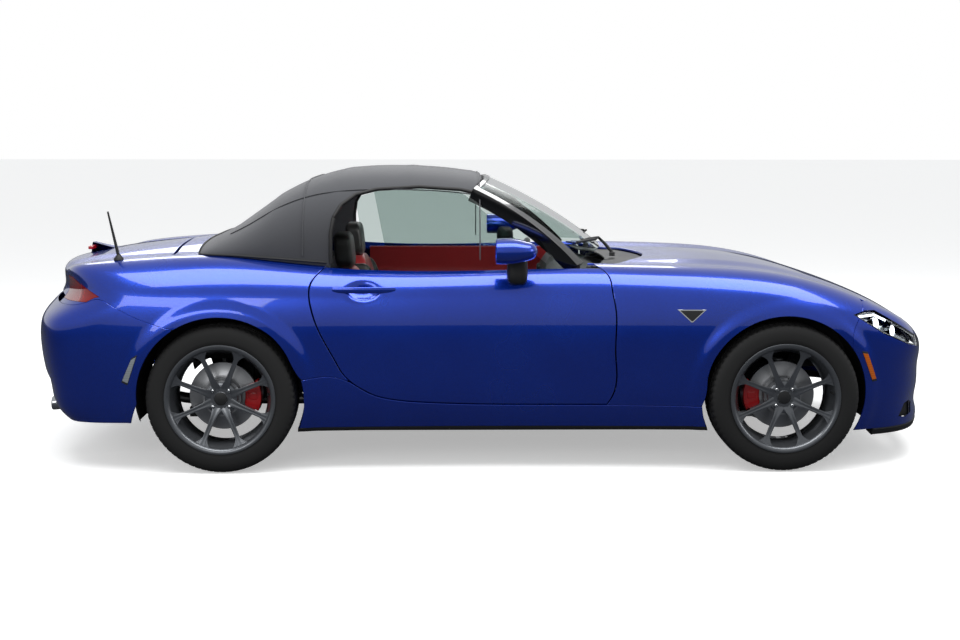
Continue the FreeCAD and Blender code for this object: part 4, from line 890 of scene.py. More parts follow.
def close_slits(mesh: bpy.types.Mesh) -> None:
    """Closes the hair-thin slits that cuts leave in a closed mesh."""
    def slits() -> list[bmesh.types.BMEdge]:
        """The edges that only one face uses."""
        return [edge for edge in work.edges if len(edge.link_faces) == 1]

    widest = 4e-5
    work = bmesh.new()
    work.from_mesh(mesh)
    rims = list({point for edge in slits() for point in edge.verts})
    bmesh.ops.remove_doubles(work, verts=rims, dist=widest)
    filled = bmesh.ops.holes_fill(work, edges=slits(), sides=0)["faces"]
    bmesh.ops.triangulate(work, faces=filled)
    work.to_mesh(mesh)
    work.free()


def carve(piece: bpy.types.Object, cutter: tuple[Array, Array], how: str = "DIFFERENCE") -> None:
    """Cuts a closed piece with a closed block and keeps the result as its mesh.

    Args:
        piece: the piece that is cut.
        cutter: points and quads of the block.
        how: DIFFERENCE to take the block away, INTERSECT to keep only what is inside it.
    """
    points, faces = cutter
    points = points.reshape(-1, 3)
    if volume_sign(points - points.mean(axis=0), faces) < 0:
        faces = faces[:, ::-1]
    mesh = bpy.data.meshes.new("cutter")
    mesh.from_pydata((points * MM).tolist(), [], faces.tolist())
    weld(mesh)
    block = bpy.data.objects.new("cutter", mesh)
    bpy.context.scene.collection.objects.link(block)
    step = piece.modifiers.new("cut", "BOOLEAN")
    step.operation, step.solver, step.object = how, "EXACT", block
    bpy.context.view_layer.update()
    done = bpy.data.meshes.new_from_object(piece.evaluated_get(bpy.context.evaluated_depsgraph_get()))
    piece.modifiers.clear()
    piece.data = done
    weld(done)
    done.shade_smooth()
    done.set_sharp_from_angle(angle=math.radians(CRISP))
    bpy.data.objects.remove(block)


def bar(outline: Sequence[tuple[float, float]], low: float, high: float,
        axes: str = "xz") -> tuple[Array, Array]:
    """A straight block over an outline, fanned from its middle at both ends.

    Args:
        outline: pairs in the plane of the two axes.
        low: start along the third axis.
        high: end along it.
        axes: "xz" for a block along Y, "yz" along X, "xy" along Z.

    Returns:
        Points and quads.
    """
    flat = np.array(outline, float)
    count = len(flat)
    middle = np.repeat(flat.mean(axis=0)[None], count, axis=0)
    rows = [(middle, low), (flat, low), (flat, high), (middle, high)]
    order = {"xz": (0, 2, 1), "yz": (1, 2, 0), "xy": (0, 1, 2)}[axes]
    points = np.zeros((4, count, 3))
    for row, (pairs, level) in enumerate(rows):
        points[row, :, order[0]] = pairs[:, 0]
        points[row, :, order[1]] = pairs[:, 1]
        points[row, :, order[2]] = level
    return points, grid_faces(4, count, False, True)


def side_bar(outline: Sequence[tuple[float, float]], near: float, side: Side,
             far: float = OUTSIDE) -> tuple[Array, Array]:
    """A block across one side of the car.

    Args:
        outline: X and Z pairs.
        near: its start, as a distance from the middle plane.
        side: the side of the car.
        far: its end, as a distance from the middle plane.

    Returns:
        Points and quads.
    """
    return bar(outline, *sorted((near * side.value, far * side.value)))


def skin_sheet(outer: Array, depth: float) -> tuple[Array, Array]:
    """A panel of the body over a grid of points that lie on the skin."""
    return sheet(outer, outward(Skin.body, outer), depth)


def body_sheet(pairs: Array, depth: float) -> tuple[Array, Array]:
    """A panel of the body over a grid of station and angle pairs."""
    return skin_sheet(on_section(pairs[..., 0], pairs[..., 1]), depth)


def arch_crossing(axle: float, line: Callable[[Array], Array], way: int) -> tuple[float, float]:
    """Where an edge given as height over X meets a wheel arch.

    Args:
        axle: X of the axle.
        line: height of the edge at an X.
        way: 1 for the front side of the arch, -1 for the rear side.

    Returns:
        X of the crossing and its angle about the hub, from the rearward level.
    """
    x = axle + way * 200.0
    for _ in range(40):
        z = float(line(x))
        x = 0.5 * x + 0.5 * (axle + way * float(arch_reach(z)))
    return x, math.atan2(float(line(x)) - HUB_HEIGHT, -(x - axle))


class Painted:
    """The lacquered panels of the body, one mesh a panel."""

    def __init__(self) -> None:
        """Builds every painted panel."""
        for side in Side:
            self.fender(side)
            self.door(side)
            self.quarter(side)
        self.lids()
        self.bumpers()
        self.sills()

    @staticmethod
    def head_lamp_block(side: Side) -> tuple[Array, Array]:
        """The block that a headlamp's window takes out of the panels round it."""
        return side_bar(HEAD_LAMP, 556, side)

    def fender(self, side: Side) -> None:
        """The front fender: from the door to the bumper cover, up to the bonnet."""
        shut = lambda z: door_front(z) + SHUT
        sill = lambda x: on_side(x, sill_top(x) + SEAM)
        rim = lambda x: on_top(x, bonnet_side(x) + SHUT)
        sill_end, rise = 269, 205
        rear_low = corner(shut, sill, 510)
        _, start = arch_crossing(FRONT_AXLE, sill_top, -1)
        x_low = np.linspace(rear_low[0], FRONT_AXLE - float(arch_reach(sill_end)), 40)
        lip = arch_edge(FRONT_AXLE, start, math.pi - math.asin(rise / ARCH))
        low = np.concatenate([edge_along(x_low, sill), lip[1:]])
        rear_top = corner(shut, rim, 480)
        front_top = corner(fender_seam, rim, 1540)
        top = edge_along(np.linspace(rear_top[0], front_top[0], 80), rim)
        rear = upright_edge(shut, rear_low, rear_top)
        front = upright_edge(fender_seam, low[-1], front_top)
        low[0], low[-1] = rear[0], front[0]
        top[0], top[-1] = rear[-1], front[-1]
        name = "fender_" + side.word
        panel = body_sheet(coons(low, top, rear, front, 100, 56), PANEL)
        piece = make(name, [panel], PAINT, "car", [name], side)
        carve(piece, self.head_lamp_block(side))

    def door(self, side: Side) -> None:
        """The door's outer skin, from the sill over the shoulder to the window."""
        sill = lambda x: on_side(x, sill_top(x) + 2 * SHUT)
        belt = lambda x: on_top(x, 0 * x + WINDOW_Y)
        ends = {}
        for word, line in (("rear", lambda z: door_rear(z) + SHUT),
                           ("front", lambda z: door_front(z) - SHUT)):
            low_end = corner(line, sill, -440 if word == "rear" else 490)
            top_end = corner(line, belt, -640 if word == "rear" else 440)
            ends[word] = upright_edge(line, low_end, top_end)
        low = edge_along(np.linspace(ends["rear"][0, 0], ends["front"][0, 0], 60), sill)
        top = edge_along(np.linspace(ends["rear"][-1, 0], ends["front"][-1, 0], 60), belt)
        low[0], low[-1] = ends["rear"][0], ends["front"][0]
        top[0], top[-1] = ends["rear"][-1], ends["front"][-1]
        pairs = coons(low, top, ends["rear"], ends["front"], 96, 56)
        outer = on_section(pairs[..., 0], pairs[..., 1])
        normals = outward(Skin.body, outer)
        x, z = outer[..., 0], outer[..., 2]
        cup_x, cup_z, cup_depth, thickness = -497, 748, 26, 34
        cup = smooth_step(1.3 - np.hypot((x - cup_x) / 62, (z - cup_z) / 36))
        outer = outer - normals * (cup_depth * cup)[..., None]
        name = "door_" + side.word
        make(name, [sheet(outer, normals, thickness)], PAINT, name, [name], side)
        self.handle(side)

    @staticmethod
    def handle(side: Side) -> None:
        """The pull handle: a bowed bar over the cup in the door skin."""
        rear, front, level, sunk = -622, -370, 752, 3
        taller, flatter = 1.35, 0.4
        x = np.linspace(rear, front, 60)
        spot = on_side(x, 0 * x + level)
        lift = 12 * np.sin(np.pi * (x - rear) / (front - rear)) ** 0.6
        points, faces = tube(spot + vec(0, 1, 0) * (lift - sunk)[:, None], 9, 16)
        points[..., 2] = level + (points[..., 2] - level) * taller
        middle = np.pad(spot[:, 1] + lift - sunk, 1, mode="edge")[:, None]
        points[..., 1] = points[..., 1] * flatter + middle * (1 - flatter)
        word = side.word
        make("door_handle_" + word, [(points, faces)], PAINT, "door_" + word, side=side)

    def quarter(self, side: Side) -> None:
        """The rear quarter: over the arch, then round the corner of the tail to the boot lid."""
        shut = lambda z: door_rear(z) - SHUT
        seam = lambda x: on_side(x, quarter_low(x) + SEAM)
        rim = lambda x: on_top(x, quarter_top(x))
        front_low = corner(shut, seam, -556)
        front_x, front_turn = arch_crossing(REAR_AXLE, quarter_low, 1)
        rear_x, rear_turn = arch_crossing(REAR_AXLE, quarter_seam, -1)
        swung = TAIL_POST - SWING_RADIUS * np.linspace(TAIL_SWING, 0, 40)
        low_angle, high_angle = np.full(40, 0.3), np.full(40, 1.0)
        swing = (TAIL_POST - swung) / SWING_RADIUS
        for _ in range(14):
            p = on_section(swung, low_angle)
            reach = np.hypot(p[:, 0] - TAIL_POST, p[:, 1] - POST_Y)
            low_angle = mix(low_angle, np.arctan2(quarter_seam(p[:, 0]) + SEAM - POST_Z, reach), 0.7)
            p = on_section(swung, high_angle)
            reach = (quarter_top(p[:, 0]) - POST_Y) / np.cos(swing)
            high_angle = mix(high_angle, np.arctan2(p[:, 2] - POST_Z, reach), 0.5)
        low = np.concatenate([
            np.stack([swung, low_angle], axis=-1)[:-1],
            edge_along(np.linspace(TAIL_POST, rear_x, 30), seam)[:-1],
            arch_edge(REAR_AXLE, rear_turn, front_turn),
            edge_along(np.linspace(front_x, front_low[0], 20), seam)[1:]])
        front_top = corner(shut, rim, -640)
        top = np.concatenate([np.stack([swung, high_angle], axis=-1)[:-1],
                              edge_along(np.linspace(TAIL_POST, front_top[0], 60), rim)])
        rear = np.stack([np.full(30, low[0, 0]), np.linspace(low[0, 1], top[0, 1], 30)], axis=-1)
        front = upright_edge(shut, front_low, front_top)
        low[-1], top[-1] = front[0], front[-1]
        name = "quarter_" + side.word
        panel = body_sheet(coons(low, top, rear, front, 150, 56), PANEL)
        piece = make(name, [panel], PAINT, "car", [name], side)
        carve(piece, side_bar(TAIL_LAMP, 480, side))

    def lids(self) -> None:
        """The bonnet, the boot lid and the strip of body before it."""
        u, v = shares(92, 86)
        front = lambda y: NOSE - 112 - 0.00042 * y * y - SHUT
        y = mix(-600, 600, v) + 0 * u
        for _ in range(3):
            x = mix(bonnet_rear(y) + SHUT, front(y), u)
            y = mix(-1, 1, v) * (bonnet_side(x) - SHUT)
        bonnet = make("bonnet", [skin_sheet(on_top(x, y), LID)], PAINT, "bonnet", ["bonnet"])
        for side in Side:
            carve(bonnet, self.head_lamp_block(side))
        half = BOOT_SIDE - SHUT
        y = mix(-half, half, v) + 0 * u
        # The lid's top takes the first share of the grid, its fall over the tail the rest.
        flat, rest, post = 0.7, 0.3, 420
        lip = TAIL + 150 + 0.0003 * y * y
        over = on_top(mix(BOOT_FRONT - SHUT, lip, np.minimum(u / flat, 1)), y)
        drop = np.clip((u - flat) / rest, 0, 1)
        angle = mix(np.arctan2(Skin.top(lip, np.abs(y)) - 568, post), math.atan2(126, post), drop)
        fall = hit(Skin.body, vec(lip + post, y, 560), vec(-np.cos(angle), 0 * y, np.sin(angle)))
        outer = np.where(u[..., None] < flat, over, fall)
        make("boot_lid", [skin_sheet(outer, LID)], PAINT, "boot_lid", ["boot_lid"])
        half = BOOT_SIDE + SHUT - SEAM * 2
        x = mix(BOOT_FRONT + SHUT + LID_SWING, REAR_AXLE - 118, np.linspace(0, 1, 16)[:, None])
        strip = on_top(x, mix(-half, half, v))
        make("rear_deck", [skin_sheet(strip, PANEL)], PAINT, "car", ["rear_deck"])

    def bumpers(self) -> None:
        """The front and rear covers, on level rays that fan out round nose and tail."""
        share, v = np.linspace(-1, 1, 170)[:, None], np.linspace(0, 1, 46)[None, :]
        self.front_bumper(share, v)
        self.rear_bumper(share, v)

    def front_bumper(self, share: Array, v: Array) -> None:
        """The front cover with its mouth, its vents and its headlamp windows.

        Args:
            share: each ray's turn, from -1 at the right wheel arch to 1 at the left one.
            v: each ray's height, from 0 at the lower edge to 1 at the upper one.
        """
        bottom, side_top, lip_end = 158, 720.0, 513
        corner_y = float(bonnet_side(fender_seam(side_top)))
        corner_z = float(Skin.top(fender_seam(np.array(side_top)), np.array(corner_y))) - 10
        top = Curve((0, 584), (0.45, 600), (0.72, 640), (0.9, 688), (1, corner_z))
        z = mix(bottom, top(np.abs(share)), v)
        z_end = mix(bottom, top(1), v) + 0 * share
        x_end = np.where(z_end < lip_end, FRONT_AXLE + arch_reach(z_end), fender_seam(z_end) + 2 * SEAM)
        end = on_side(x_end, z_end)
        angle = np.arctan2(end[..., 1], end[..., 0] - NOSE_POST) * share
        outer = level_view(NOSE_POST, angle, z)
        front = make("front_bumper", [skin_sheet(outer, COVER)], PAINT, "car", ["front_bumper"])
        half = 430.0
        mouth = [(-half, 250), (-half + 26, 330), (-half + 60, 400), (-half + 110, 432), (-250, 446),
                 (250, 446), (half - 110, 432), (half - 60, 400), (half - 26, 330), (half, 250),
                 (half - 30, 216), (half - 90, 205), (90 - half, 205), (30 - half, 216)]
        vent = [(1744, 200), (1772, 256), (1800, 262), (1828, 244), (1822, 206), (1790, 192)]
        carve(front, bar(mouth, NOSE - 260, NOSE + 60, "yz"))
        for side in Side:
            carve(front, self.head_lamp_block(side))
            carve(front, side_bar(vent, 600, side, 800))

    @staticmethod
    def rear_bumper(share: Array, v: Array) -> None:
        """The rear cover with its folded lower half and the notch for the exhaust tips.

        Args:
            share: each ray's turn, from -1 at the right wheel arch to 1 at the left one.
            v: each ray's height, from 0 at the lower edge to 1 at the upper one.
        """
        z = np.full((share.size, v.size), 500.0)
        low = Curve((0, 196), (0.6, 190), (1, 204))
        widest = np.radians(mix(80.5, 93.5, v))
        limit = widest + 0 * share
        for _ in range(8):
            spot = level_view(REAR_POST, limit * share, z, -1)
            z = mix(low(np.abs(share)), quarter_seam(spot[..., 0]) - SEAM, v)
            z_end = np.broadcast_to(z[:1], z.shape)
            end = on_side(REAR_AXLE - arch_reach(z_end), z_end)
            limit = np.minimum(widest, np.arctan2(end[..., 1], REAR_POST - end[..., 0]))
        spot = level_view(REAR_POST, limit * share, z, -1)
        normals = outward(Skin.body, spot)
        fold = 424 - 0.28 * np.abs(np.abs(spot[..., 1]) - 500)
        step = 7 * smooth_step((fold - spot[..., 2]) / 22) * smooth_step((740 - np.abs(spot[..., 1])) / 130)
        cover = sheet(spot - normals * step[..., None], normals, COVER)
        rear = make("rear_bumper", [cover], PAINT, "car", ["rear_bumper"])
        notch = [(-552, 150), (-552, 238), (-536, 258), (-340, 258), (-324, 238), (-324, 150)]
        carve(rear, bar(notch, TAIL - 40, TAIL + 260, "yz"))

    @staticmethod
    def sills() -> None:
        """The painted sills between the wheels, with the black skirt below them."""
        skirt_bottom = SILL_BOTTOM - SKIRT_DEPTH
        u, v = shares(110, 16)
        for name, finish, slot, low, high, depth in (
                ("sills", PAINT, "paint", SILL_BOTTOM, None, 40.0),
                ("skirts", BLACK, "black_plastic", skirt_bottom, SILL_BOTTOM, 30.0)):
            x = mix(REAR_AXLE + ARCH, FRONT_AXLE - ARCH, u)
            for _ in range(6):
                z = mix(low, (sill_top(x) if high is None else high) - SEAM, v)
                x = mix(REAR_AXLE + arch_reach(z), FRONT_AXLE - arch_reach(z), u)
            make(name, both_sides([skin_sheet(on_side(x, z), depth)]), finish, "car", [name])


side_glass_line = Curve((780, 720), (840, 709), (1000, 671), (1100, 637), (1165, 606), (1220, 572))
roof_line = Curve(
    (HOOD_REAR, 926), (REAR_AXLE - 32, 966), (REAR_AXLE + 108, 1055), (REAR_AXLE + 200, 1122),
    (REAR_AXLE + 292, 1172), (REAR_AXLE + 384, 1205), (REAR_AXLE + 520, ROOF - 6), (REAR_AXLE + 704, ROOF),
    (COWL - 970, ROOF - 5), (COWL - 790, ROOF - 26), (COWL - 740, ROOF - 36))
roof_plan = Curve((HOOD_REAR, 596), (REAR_AXLE - 84, 646), (REAR_AXLE - 20, 674),
                  (REAR_AXLE + 140, 697), (REAR_AXLE + 320, 708), (REAR_AXLE + 800, 712),
                  (COWL - 740, 700))
ROOF_STATIONS = np.array([HOOD_REAR, REAR_AXLE - 60, REAR_AXLE + 40, REAR_AXLE + 200, DOOR_REAR + 79,
                          DOOR_REAR + 300, COWL - 740])
ROOF_FOOT = Curve(*zip(ROOF_STATIONS, on_top(ROOF_STATIONS, roof_plan(ROOF_STATIONS) - 18)[..., 2] + 0.3))


def roof_hit(x: Array, turn: Array) -> Array:
    """The soft top's skin at a station, from one foot over the crown to the other.

    Each section is an oval with full shoulders: the share of the half width to one power
    plus the share of the rise to another makes one.

    Args:
        x: the station.
        turn: 0 at the left foot, 1 at the right foot.

    Returns:
        The points.
    """
    foot = ROOF_FOOT(x)
    way = vec(0 * x, roof_plan(x) * np.cos(np.pi * turn), (roof_line(x) - foot) * np.sin(np.pi * turn))
    return hit(roof_wall, vec(x, 0 * x, foot), way, 2.0)


def roof_wall(x: Array, y: Array, z: Array) -> Array:
    """Negative inside the soft top."""
    foot = ROOF_FOOT(x)
    rise = np.maximum(z - foot, 0) / (roof_line(x) - foot)
    full = smooth_step((x - REAR_AXLE + 115) / 500)
    return (np.abs(y) / roof_plan(x)) ** mix(3.2, 5, full) + rise ** mix(2.0, 2.5, full) - 1


def screen_at(u: Array, v: Array) -> Array:
    """The windscreen's outer face, from foot to header, bowed across and slightly up."""
    across = mix(-1, 1, v)
    half = mix(640, 580, u)
    y = half * across
    foot = vec(screen_foot(y), y, 874 - 22 * across ** 2)
    head = vec(COWL - 718 - 58 * across ** 2, y, 1190 - 34 * across ** 2)
    bow = vec(0.5, 0, 0.86) * (88 * u * (1 - u))[..., None]
    return foot + (head - foot) * u[..., None] + bow


def screen_part(u0: float, u1: float, half: float, depth: float, lift: float, across: int,
                along: int) -> tuple[Array, Array]:
    """A sheet on the windscreen's face between two shares of its height.

    Args:
        u0: lower share.
        u1: upper share.
        half: share of the width.
        depth: thickness below the face.
        lift: height above the face.
        across: points up the face.
        along: points over its width.

    Returns:
        Points and quads.
    """
    u = np.linspace(u0, u1, across)[:, None] + np.zeros((1, along))
    v = 0.5 + (np.linspace(0, 1, along)[None, :] - 0.5) * half + 0 * u
    near = 0.01
    n = unit(np.cross(screen_at(u + near, v) - screen_at(u - near, v),
                      screen_at(u, v + near) - screen_at(u, v - near)))
    n = n * np.sign(n[..., 2:3])
    return sheet(screen_at(u, v) + n * lift, n, depth + lift, 1.5)


class Shelter:
    """The raised soft top, its seals and all the panes."""

    def __init__(self) -> None:
        """Builds the hood, the windscreen with its frame, and the side and rear panes."""
        self.hood()
        self.screen()
        self.side_glass()

    def hood(self) -> None:
        """The stretched cloth with its cut-outs, the sewn seams and the rear pane."""
        x = np.linspace(HOOD_REAR, HOOD_FRONT, 130)[:, None]
        turn = np.linspace(0, 1, 160)[None, :]
        outer = roof_hit(x + 0 * turn, turn + 0 * x)
        normals = outward(roof_wall, outer)
        bows, height, width = (REAR_AXLE + 200, REAR_AXLE + 470, REAR_AXLE + 760, HOOD_FRONT - 40), 2.2, 26
        ridge = sum(height * np.exp(-((outer[..., 0] - bow) / width) ** 2) for bow in bows)
        outer = outer + normals * (ridge - height)[..., None]
        cloth = sheet(outer, normals, FABRIC, 1.5)
        piece = make("soft_top", [cloth], CANVAS, "car", ["soft_top"])
        pane = [(-330, 985), (-350, 1000), (-320, 1105), (-300, 1120), (300, 1120), (320, 1105),
                (350, 1000), (330, 985)]
        pane_block = bar(pane, PANE_REAR, PANE_FRONT, "yz")
        screen_block = screen_part(-0.2, 1.006, 1.12, 90, 60, 16, 40)
        for cutter in (bar(WINDOW, -OUTSIDE, OUTSIDE), pane_block, screen_block):
            carve(piece, cutter)
            close_slits(piece.data)
        areas = np.zeros(len(piece.data.polygons))
        piece.data.polygons.foreach_get("area", areas)
        self.seams()
        x = np.linspace(REAR_AXLE - 110, PANE_FRONT, 70)[:, None]
        turn = np.linspace(0.2, 0.8, 80)[None, :]
        glass = roof_hit(x + 0 * turn, turn + 0 * x)
        n = outward(roof_wall, glass)
        glass = sheet(glass - n * 5, n, 4, 1.0)
        rear = make("rear_window", [glass], DARK_GLASS, "car", ["rear_window"])
        carve(rear, pane_block, "INTERSECT")

    @staticmethod
    def seams() -> None:
        """The sewn seams of the hood, the hem along its foot and the rubber round its windows."""
        turn = np.linspace(0.03, 0.97, 120)
        lines = [roof_hit(station + 0 * turn, turn) + vec(0, 0, 0.4)
                 for station in (PANE_FRONT, HOOD_FRONT - 12)]
        along = np.linspace(REAR_AXLE + 10, HOOD_FRONT - 30, 120)
        lines += [roof_hit(along, 0 * along + share) for share in (0.24, 0.76)]
        make("hood_seams", [tube(line, 2.6, 8) for line in lines], CANVAS, "car")
        radius, foot, back = 4.5, 0.012, REAR_AXLE - 113
        x = np.linspace(back, DOOR_REAR + 60, 90)
        hem = roof_hit(x, 0 * x + foot)
        hems = [tube(other_side(hem, side), radius, 8) for side in Side]
        across = np.linspace(foot, 1 - foot, 80)
        hems.append(tube(roof_hit(0 * across + back, across), radius, 8))
        make("hood_hem", hems, SEAL, "car")
        path = resample([(DOOR_REAR + 79, 850), *WINDOW[1:8], (COWL - 760, 1134)], 120)
        points = hit(roof_wall, vec(path[:, 0], 0, path[:, 1]), vec(0, 1, 0))
        seals = [tube(other_side(points, side), 8, 10) for side in Side]
        make("window_seals", seals, SEAL, "car")

    @staticmethod
    def screen() -> None:
        """The windscreen, the black frame that carries it and its roof rail."""
        pane = screen_part(0.02, 0.97, 0.96, 4.5, 0, 40, 60)
        make("windscreen", [pane], GLASS, "car", ["windscreen"])
        blank = screen_part(-0.03, 1.0, 1.06, 52, 5, 44, 64)
        frame_piece = make("windscreen_frame", [blank], GLOSS, "car", ["windscreen_frame"])
        carve(frame_piece, screen_part(-0.2, 0.971, 0.9607, 90, 60, 30, 60))

    @staticmethod
    def side_glass() -> None:
        """The door panes."""
        for side in Side:
            u, v = shares(60, 50)
            x, z = mix(DOOR_REAR + 120, COWL - 420, u) + 0 * v, mix(785, 1190, v) + 0 * u
            lean = vec(x, side_glass_line(z) - 8, z)
            n = np.broadcast_to(unit(vec(0, 1, 0.38)), lean.shape)
            name = "door_glass_" + side.word
            pane = make(name, [sheet(lean, n, 4, 1.0)], GLASS, "door_" + side.word, [name], side)
            carve(pane, side_bar(GLASS_OUTLINE, 300, side), "INTERSECT")


def side_patch(corners: Sequence[tuple[float, float]], lift: float, depth: float,
               steps: int = 16) -> tuple[Array, Array]:
    """A small four-cornered sheet that follows the side of the body.

    Args:
        corners: X and Z of the four corners, in order round it.
        lift: how far its face stands off the skin.
        depth: its thickness.
        steps: points each way.

    Returns:
        Points and quads.
    """
    a, b, c, d = (np.array(p, float) for p in corners)
    u, v = np.linspace(0, 1, steps)[:, None, None], np.linspace(0, 1, steps)[None, :, None]
    flat = (1 - u) * ((1 - v) * a + v * d) + u * ((1 - v) * b + v * c)
    spot = on_side(flat[..., 0], flat[..., 1])
    n = outward(Skin.body, spot)
    return sheet(spot + n * lift, n, depth, 0.8)


@dataclass
class Wheel:
    """One wheel: tread and side walls, barrel and spokes, nuts, brake disc."""

    end: str
    side: Side

    def build(self) -> None:
        """Makes every piece of the wheel on its own spinning body."""
        front = self.end == "front"
        self.axle = FRONT_AXLE if front else REAR_AXLE
        self.middle = (FRONT_TRACK if front else REAR_TRACK) / 2
        self.word = f"{self.end}_{self.side.word}"
        self.body = "wheel_" + self.word
        self.tyre()
        self.rim()
        self.nuts()
        profile = np.array([(32, 44), (78, 44), (78, 1), (90, 0.5), (93, -1), (139, -1), (140, -3),
                            (140, -19), (139, -21), (92, -21), (84, -18), (74, -18), (74, 38), (32, 38)])
        disc = revolve(profile, self.axle, self.middle)
        self.add("disc", [disc], IRON_FRONT if front else IRON_REAR, "disc", ["disc_" + self.word])

    def add(self, name: str, parts: Iterable[tuple[Array, Array]], finish: Finish, slot: str,
            nodes: Sequence[str] = ()) -> None:
        """Makes one piece of this wheel on its own side of the car."""
        make(f"{name}_{self.word}", parts, finish, self.body, nodes, self.side)

    def tyre(self) -> None:
        """The tyre as one grid: round shoulders, ribs, long grooves and slanted cross grooves."""
        steps = 288
        turn = full_turn(steps)[:, None]
        line = np.array([(218.4, -94), (226, -100), (245, -102.4), (268, -102), (286, -98.5), (298, -92.5)])
        y_tread = np.linspace(-86, 86, 70)
        crown = 307.8 - 6.5 * (np.abs(y_tread) / 88) ** 6
        right = line[::-1] * np.array([1, -1])
        profile = np.concatenate([line, np.stack([crown, y_tread], axis=-1), right])
        r = profile[None, :, 0] + 0 * turn
        y = profile[None, :, 1] + 0 * turn
        tread = smooth_step((r - 297) / 4)
        long_grooves = sum(smooth_step((6.5 - np.abs(y - at)) / 2.5) for at in (-52, -18, 18, 52))
        run = turn * TYRE_RADIUS
        slant = (run + np.abs(y) * 0.55 * np.sign(y)) / TREAD_PITCH
        cross = smooth_step((np.cos(slant * 2 * np.pi) - 0.62) / 0.2) * smooth_step((np.abs(y) - 55) / 4)
        fine = 0.5 * smooth_step((np.cos((run - y * 0.8) * 2 * np.pi / TREAD_PITCH) - 0.8) / 0.12)
        depth = np.maximum(np.maximum(long_grooves, 0.8 * cross), fine * smooth_step((50 - np.abs(y)) / 4))
        groove = 6.5
        r = r - groove * tread * np.minimum(depth, 1)
        ribs = 0.5 * np.sin(r * 1.4) * smooth_step((286 - r) / 8) * smooth_step((r - 232) / 6)
        y = y + np.sign(y) * ribs
        points = vec(self.axle + r * np.cos(turn), self.middle + y, HUB_HEIGHT + r * np.sin(turn))
        faces = grid_faces(steps, len(profile), True, True)
        self.add("tyre", [(points, faces)], RUBBER, "tyre", ["tyre_" + self.word])

    def rim(self) -> None:
        """The barrel with its flanges, the hub and eight slim spokes with a barb each side."""
        profile = np.array([(217.6, -100), (224, -101), (225, -97), (216, -94), (206, -62), (192, -45),
                            (192, 44), (204, 70), (209, 92), (217, 97), (225, 99), (227, 102), (225, 105),
                            (216, 106), (208, 101), (201, 84), (197, 68), (187, 48), (187, -42),
                            (200, -60), (210, -96)])
        hub = np.array([(0.5, 71), (27, 71), (29, 69), (30, 66), (58, 68), (66, 64), (68, 56), (68, 46),
                        (0.5, 46)])
        parts = [revolve(profile, self.axle, self.middle, 120), revolve(hub, self.axle, self.middle, 72)]
        reach = np.linspace(36, 207, 26)
        half = Curve((36, 20), (70, 13.5), (120, 10), (170, 9.5), (195, 12), (207, 17))(reach)
        face = Curve((36, 66), (70, 74), (130, 80), (180, 86), (207, 92))(reach)
        thick = Curve((36, 20), (80, 26), (140, 22), (190, 16), (207, 14))(reach)
        ring = np.array([(-1.0, -0.02), (-0.8, 0), (-0.35, 0.0), (0, -0.05), (0.35, 0.0), (0.8, 0),
                         (1.0, -0.02), (1.0, -0.35), (0.55, -1.0), (-0.55, -1.0), (-1.0, -0.35)])
        start, end = 176, 208
        r = np.linspace(start, end, 8)
        barb_half, barb_face = np.linspace(3, 7, 8), Curve((start, 84), (end, 92))(r)
        arms = []
        for turn in np.arange(8) * np.pi / 4 + np.pi / 8:
            arms.append(self.arm(turn, reach, half, face, thick, ring))
            for way in (-1, 1):
                lean = turn + way * (0.045 + 0.085 * ((r - start) / (end - start)) ** 1.5)
                arms.append(self.arm(lean, r, barb_half, barb_face, 0 * r + 10, ring))
        self.add("rim", parts + arms, GUNMETAL, "rim", ["rim_" + self.word])

    def arm(self, turn: Array | float, reach: Array, half: Array, face: Array, thick: Array,
            ring: Array) -> tuple[Array, Array]:
        """One arm of the wheel, lofted outward through sections of the given widths.

        Args:
            turn: its angle about the hub, one value or one a section.
            reach: radius of each section.
            half: half width of each section.
            face: Y of its outer face.
            thick: its depth behind the face.
            ring: the section's outline as shares of half width and depth.

        Returns:
            Points and quads.
        """
        turn = np.broadcast_to(np.asarray(turn, float), reach.shape)
        keep = np.concatenate([[0], np.arange(len(reach)), [len(reach) - 1]])
        shrink = np.ones(len(keep))
        shrink[[0, -1]] = POINTED
        reach, half, face, thick, turn = reach[keep], half[keep] * shrink, face[keep], thick[keep], turn[keep]
        mid = face - thick / 2
        across = half[:, None] * ring[None, :, 0]
        y = mid[:, None] + (thick[:, None] * (ring[None, :, 1] + 0.5)) * shrink[:, None]
        x = reach[:, None] * np.cos(turn)[:, None] - across * np.sin(turn)[:, None]
        z = reach[:, None] * np.sin(turn)[:, None] + across * np.cos(turn)[:, None]
        points = vec(self.axle + x, self.middle + y, HUB_HEIGHT + z)
        return points, grid_faces(len(keep), len(ring), False, True)

    def nuts(self) -> None:
        """Four chromed nuts sunk in the hub, the rubber valve and the bare middle cap."""
        def stud(reach: float, turn: float, levels: Sequence[float]) -> list[tuple[float, float, float]]:
            """The middle line of a small part that stands across the wheel."""
            x, z = self.axle + reach * math.cos(turn), HUB_HEIGHT + reach * math.sin(turn)
            return [(x, self.middle + y, z) for y in levels]

        parts = [tube(stud(47, k * np.pi / 2 + np.pi / 4, (60, 70, 76, 79)), [10, 10, 8.6, 5], 6)
                 for k in range(4)]
        self.add("wheel_nuts", parts, CHROME, "steel")
        self.add("valve", [tube(stud(196, 0.1, (62, 74, 96)), [5, 4, 3.2], 10)], SEAL, "tyre")
        cap = np.array([(0.5, 74.5), (20, 74), (26, 72.5), (27.5, 69), (0.5, 69)])
        self.add("wheel_cap", [revolve(cap, self.axle, self.middle, 48)], BLACK, "rim")


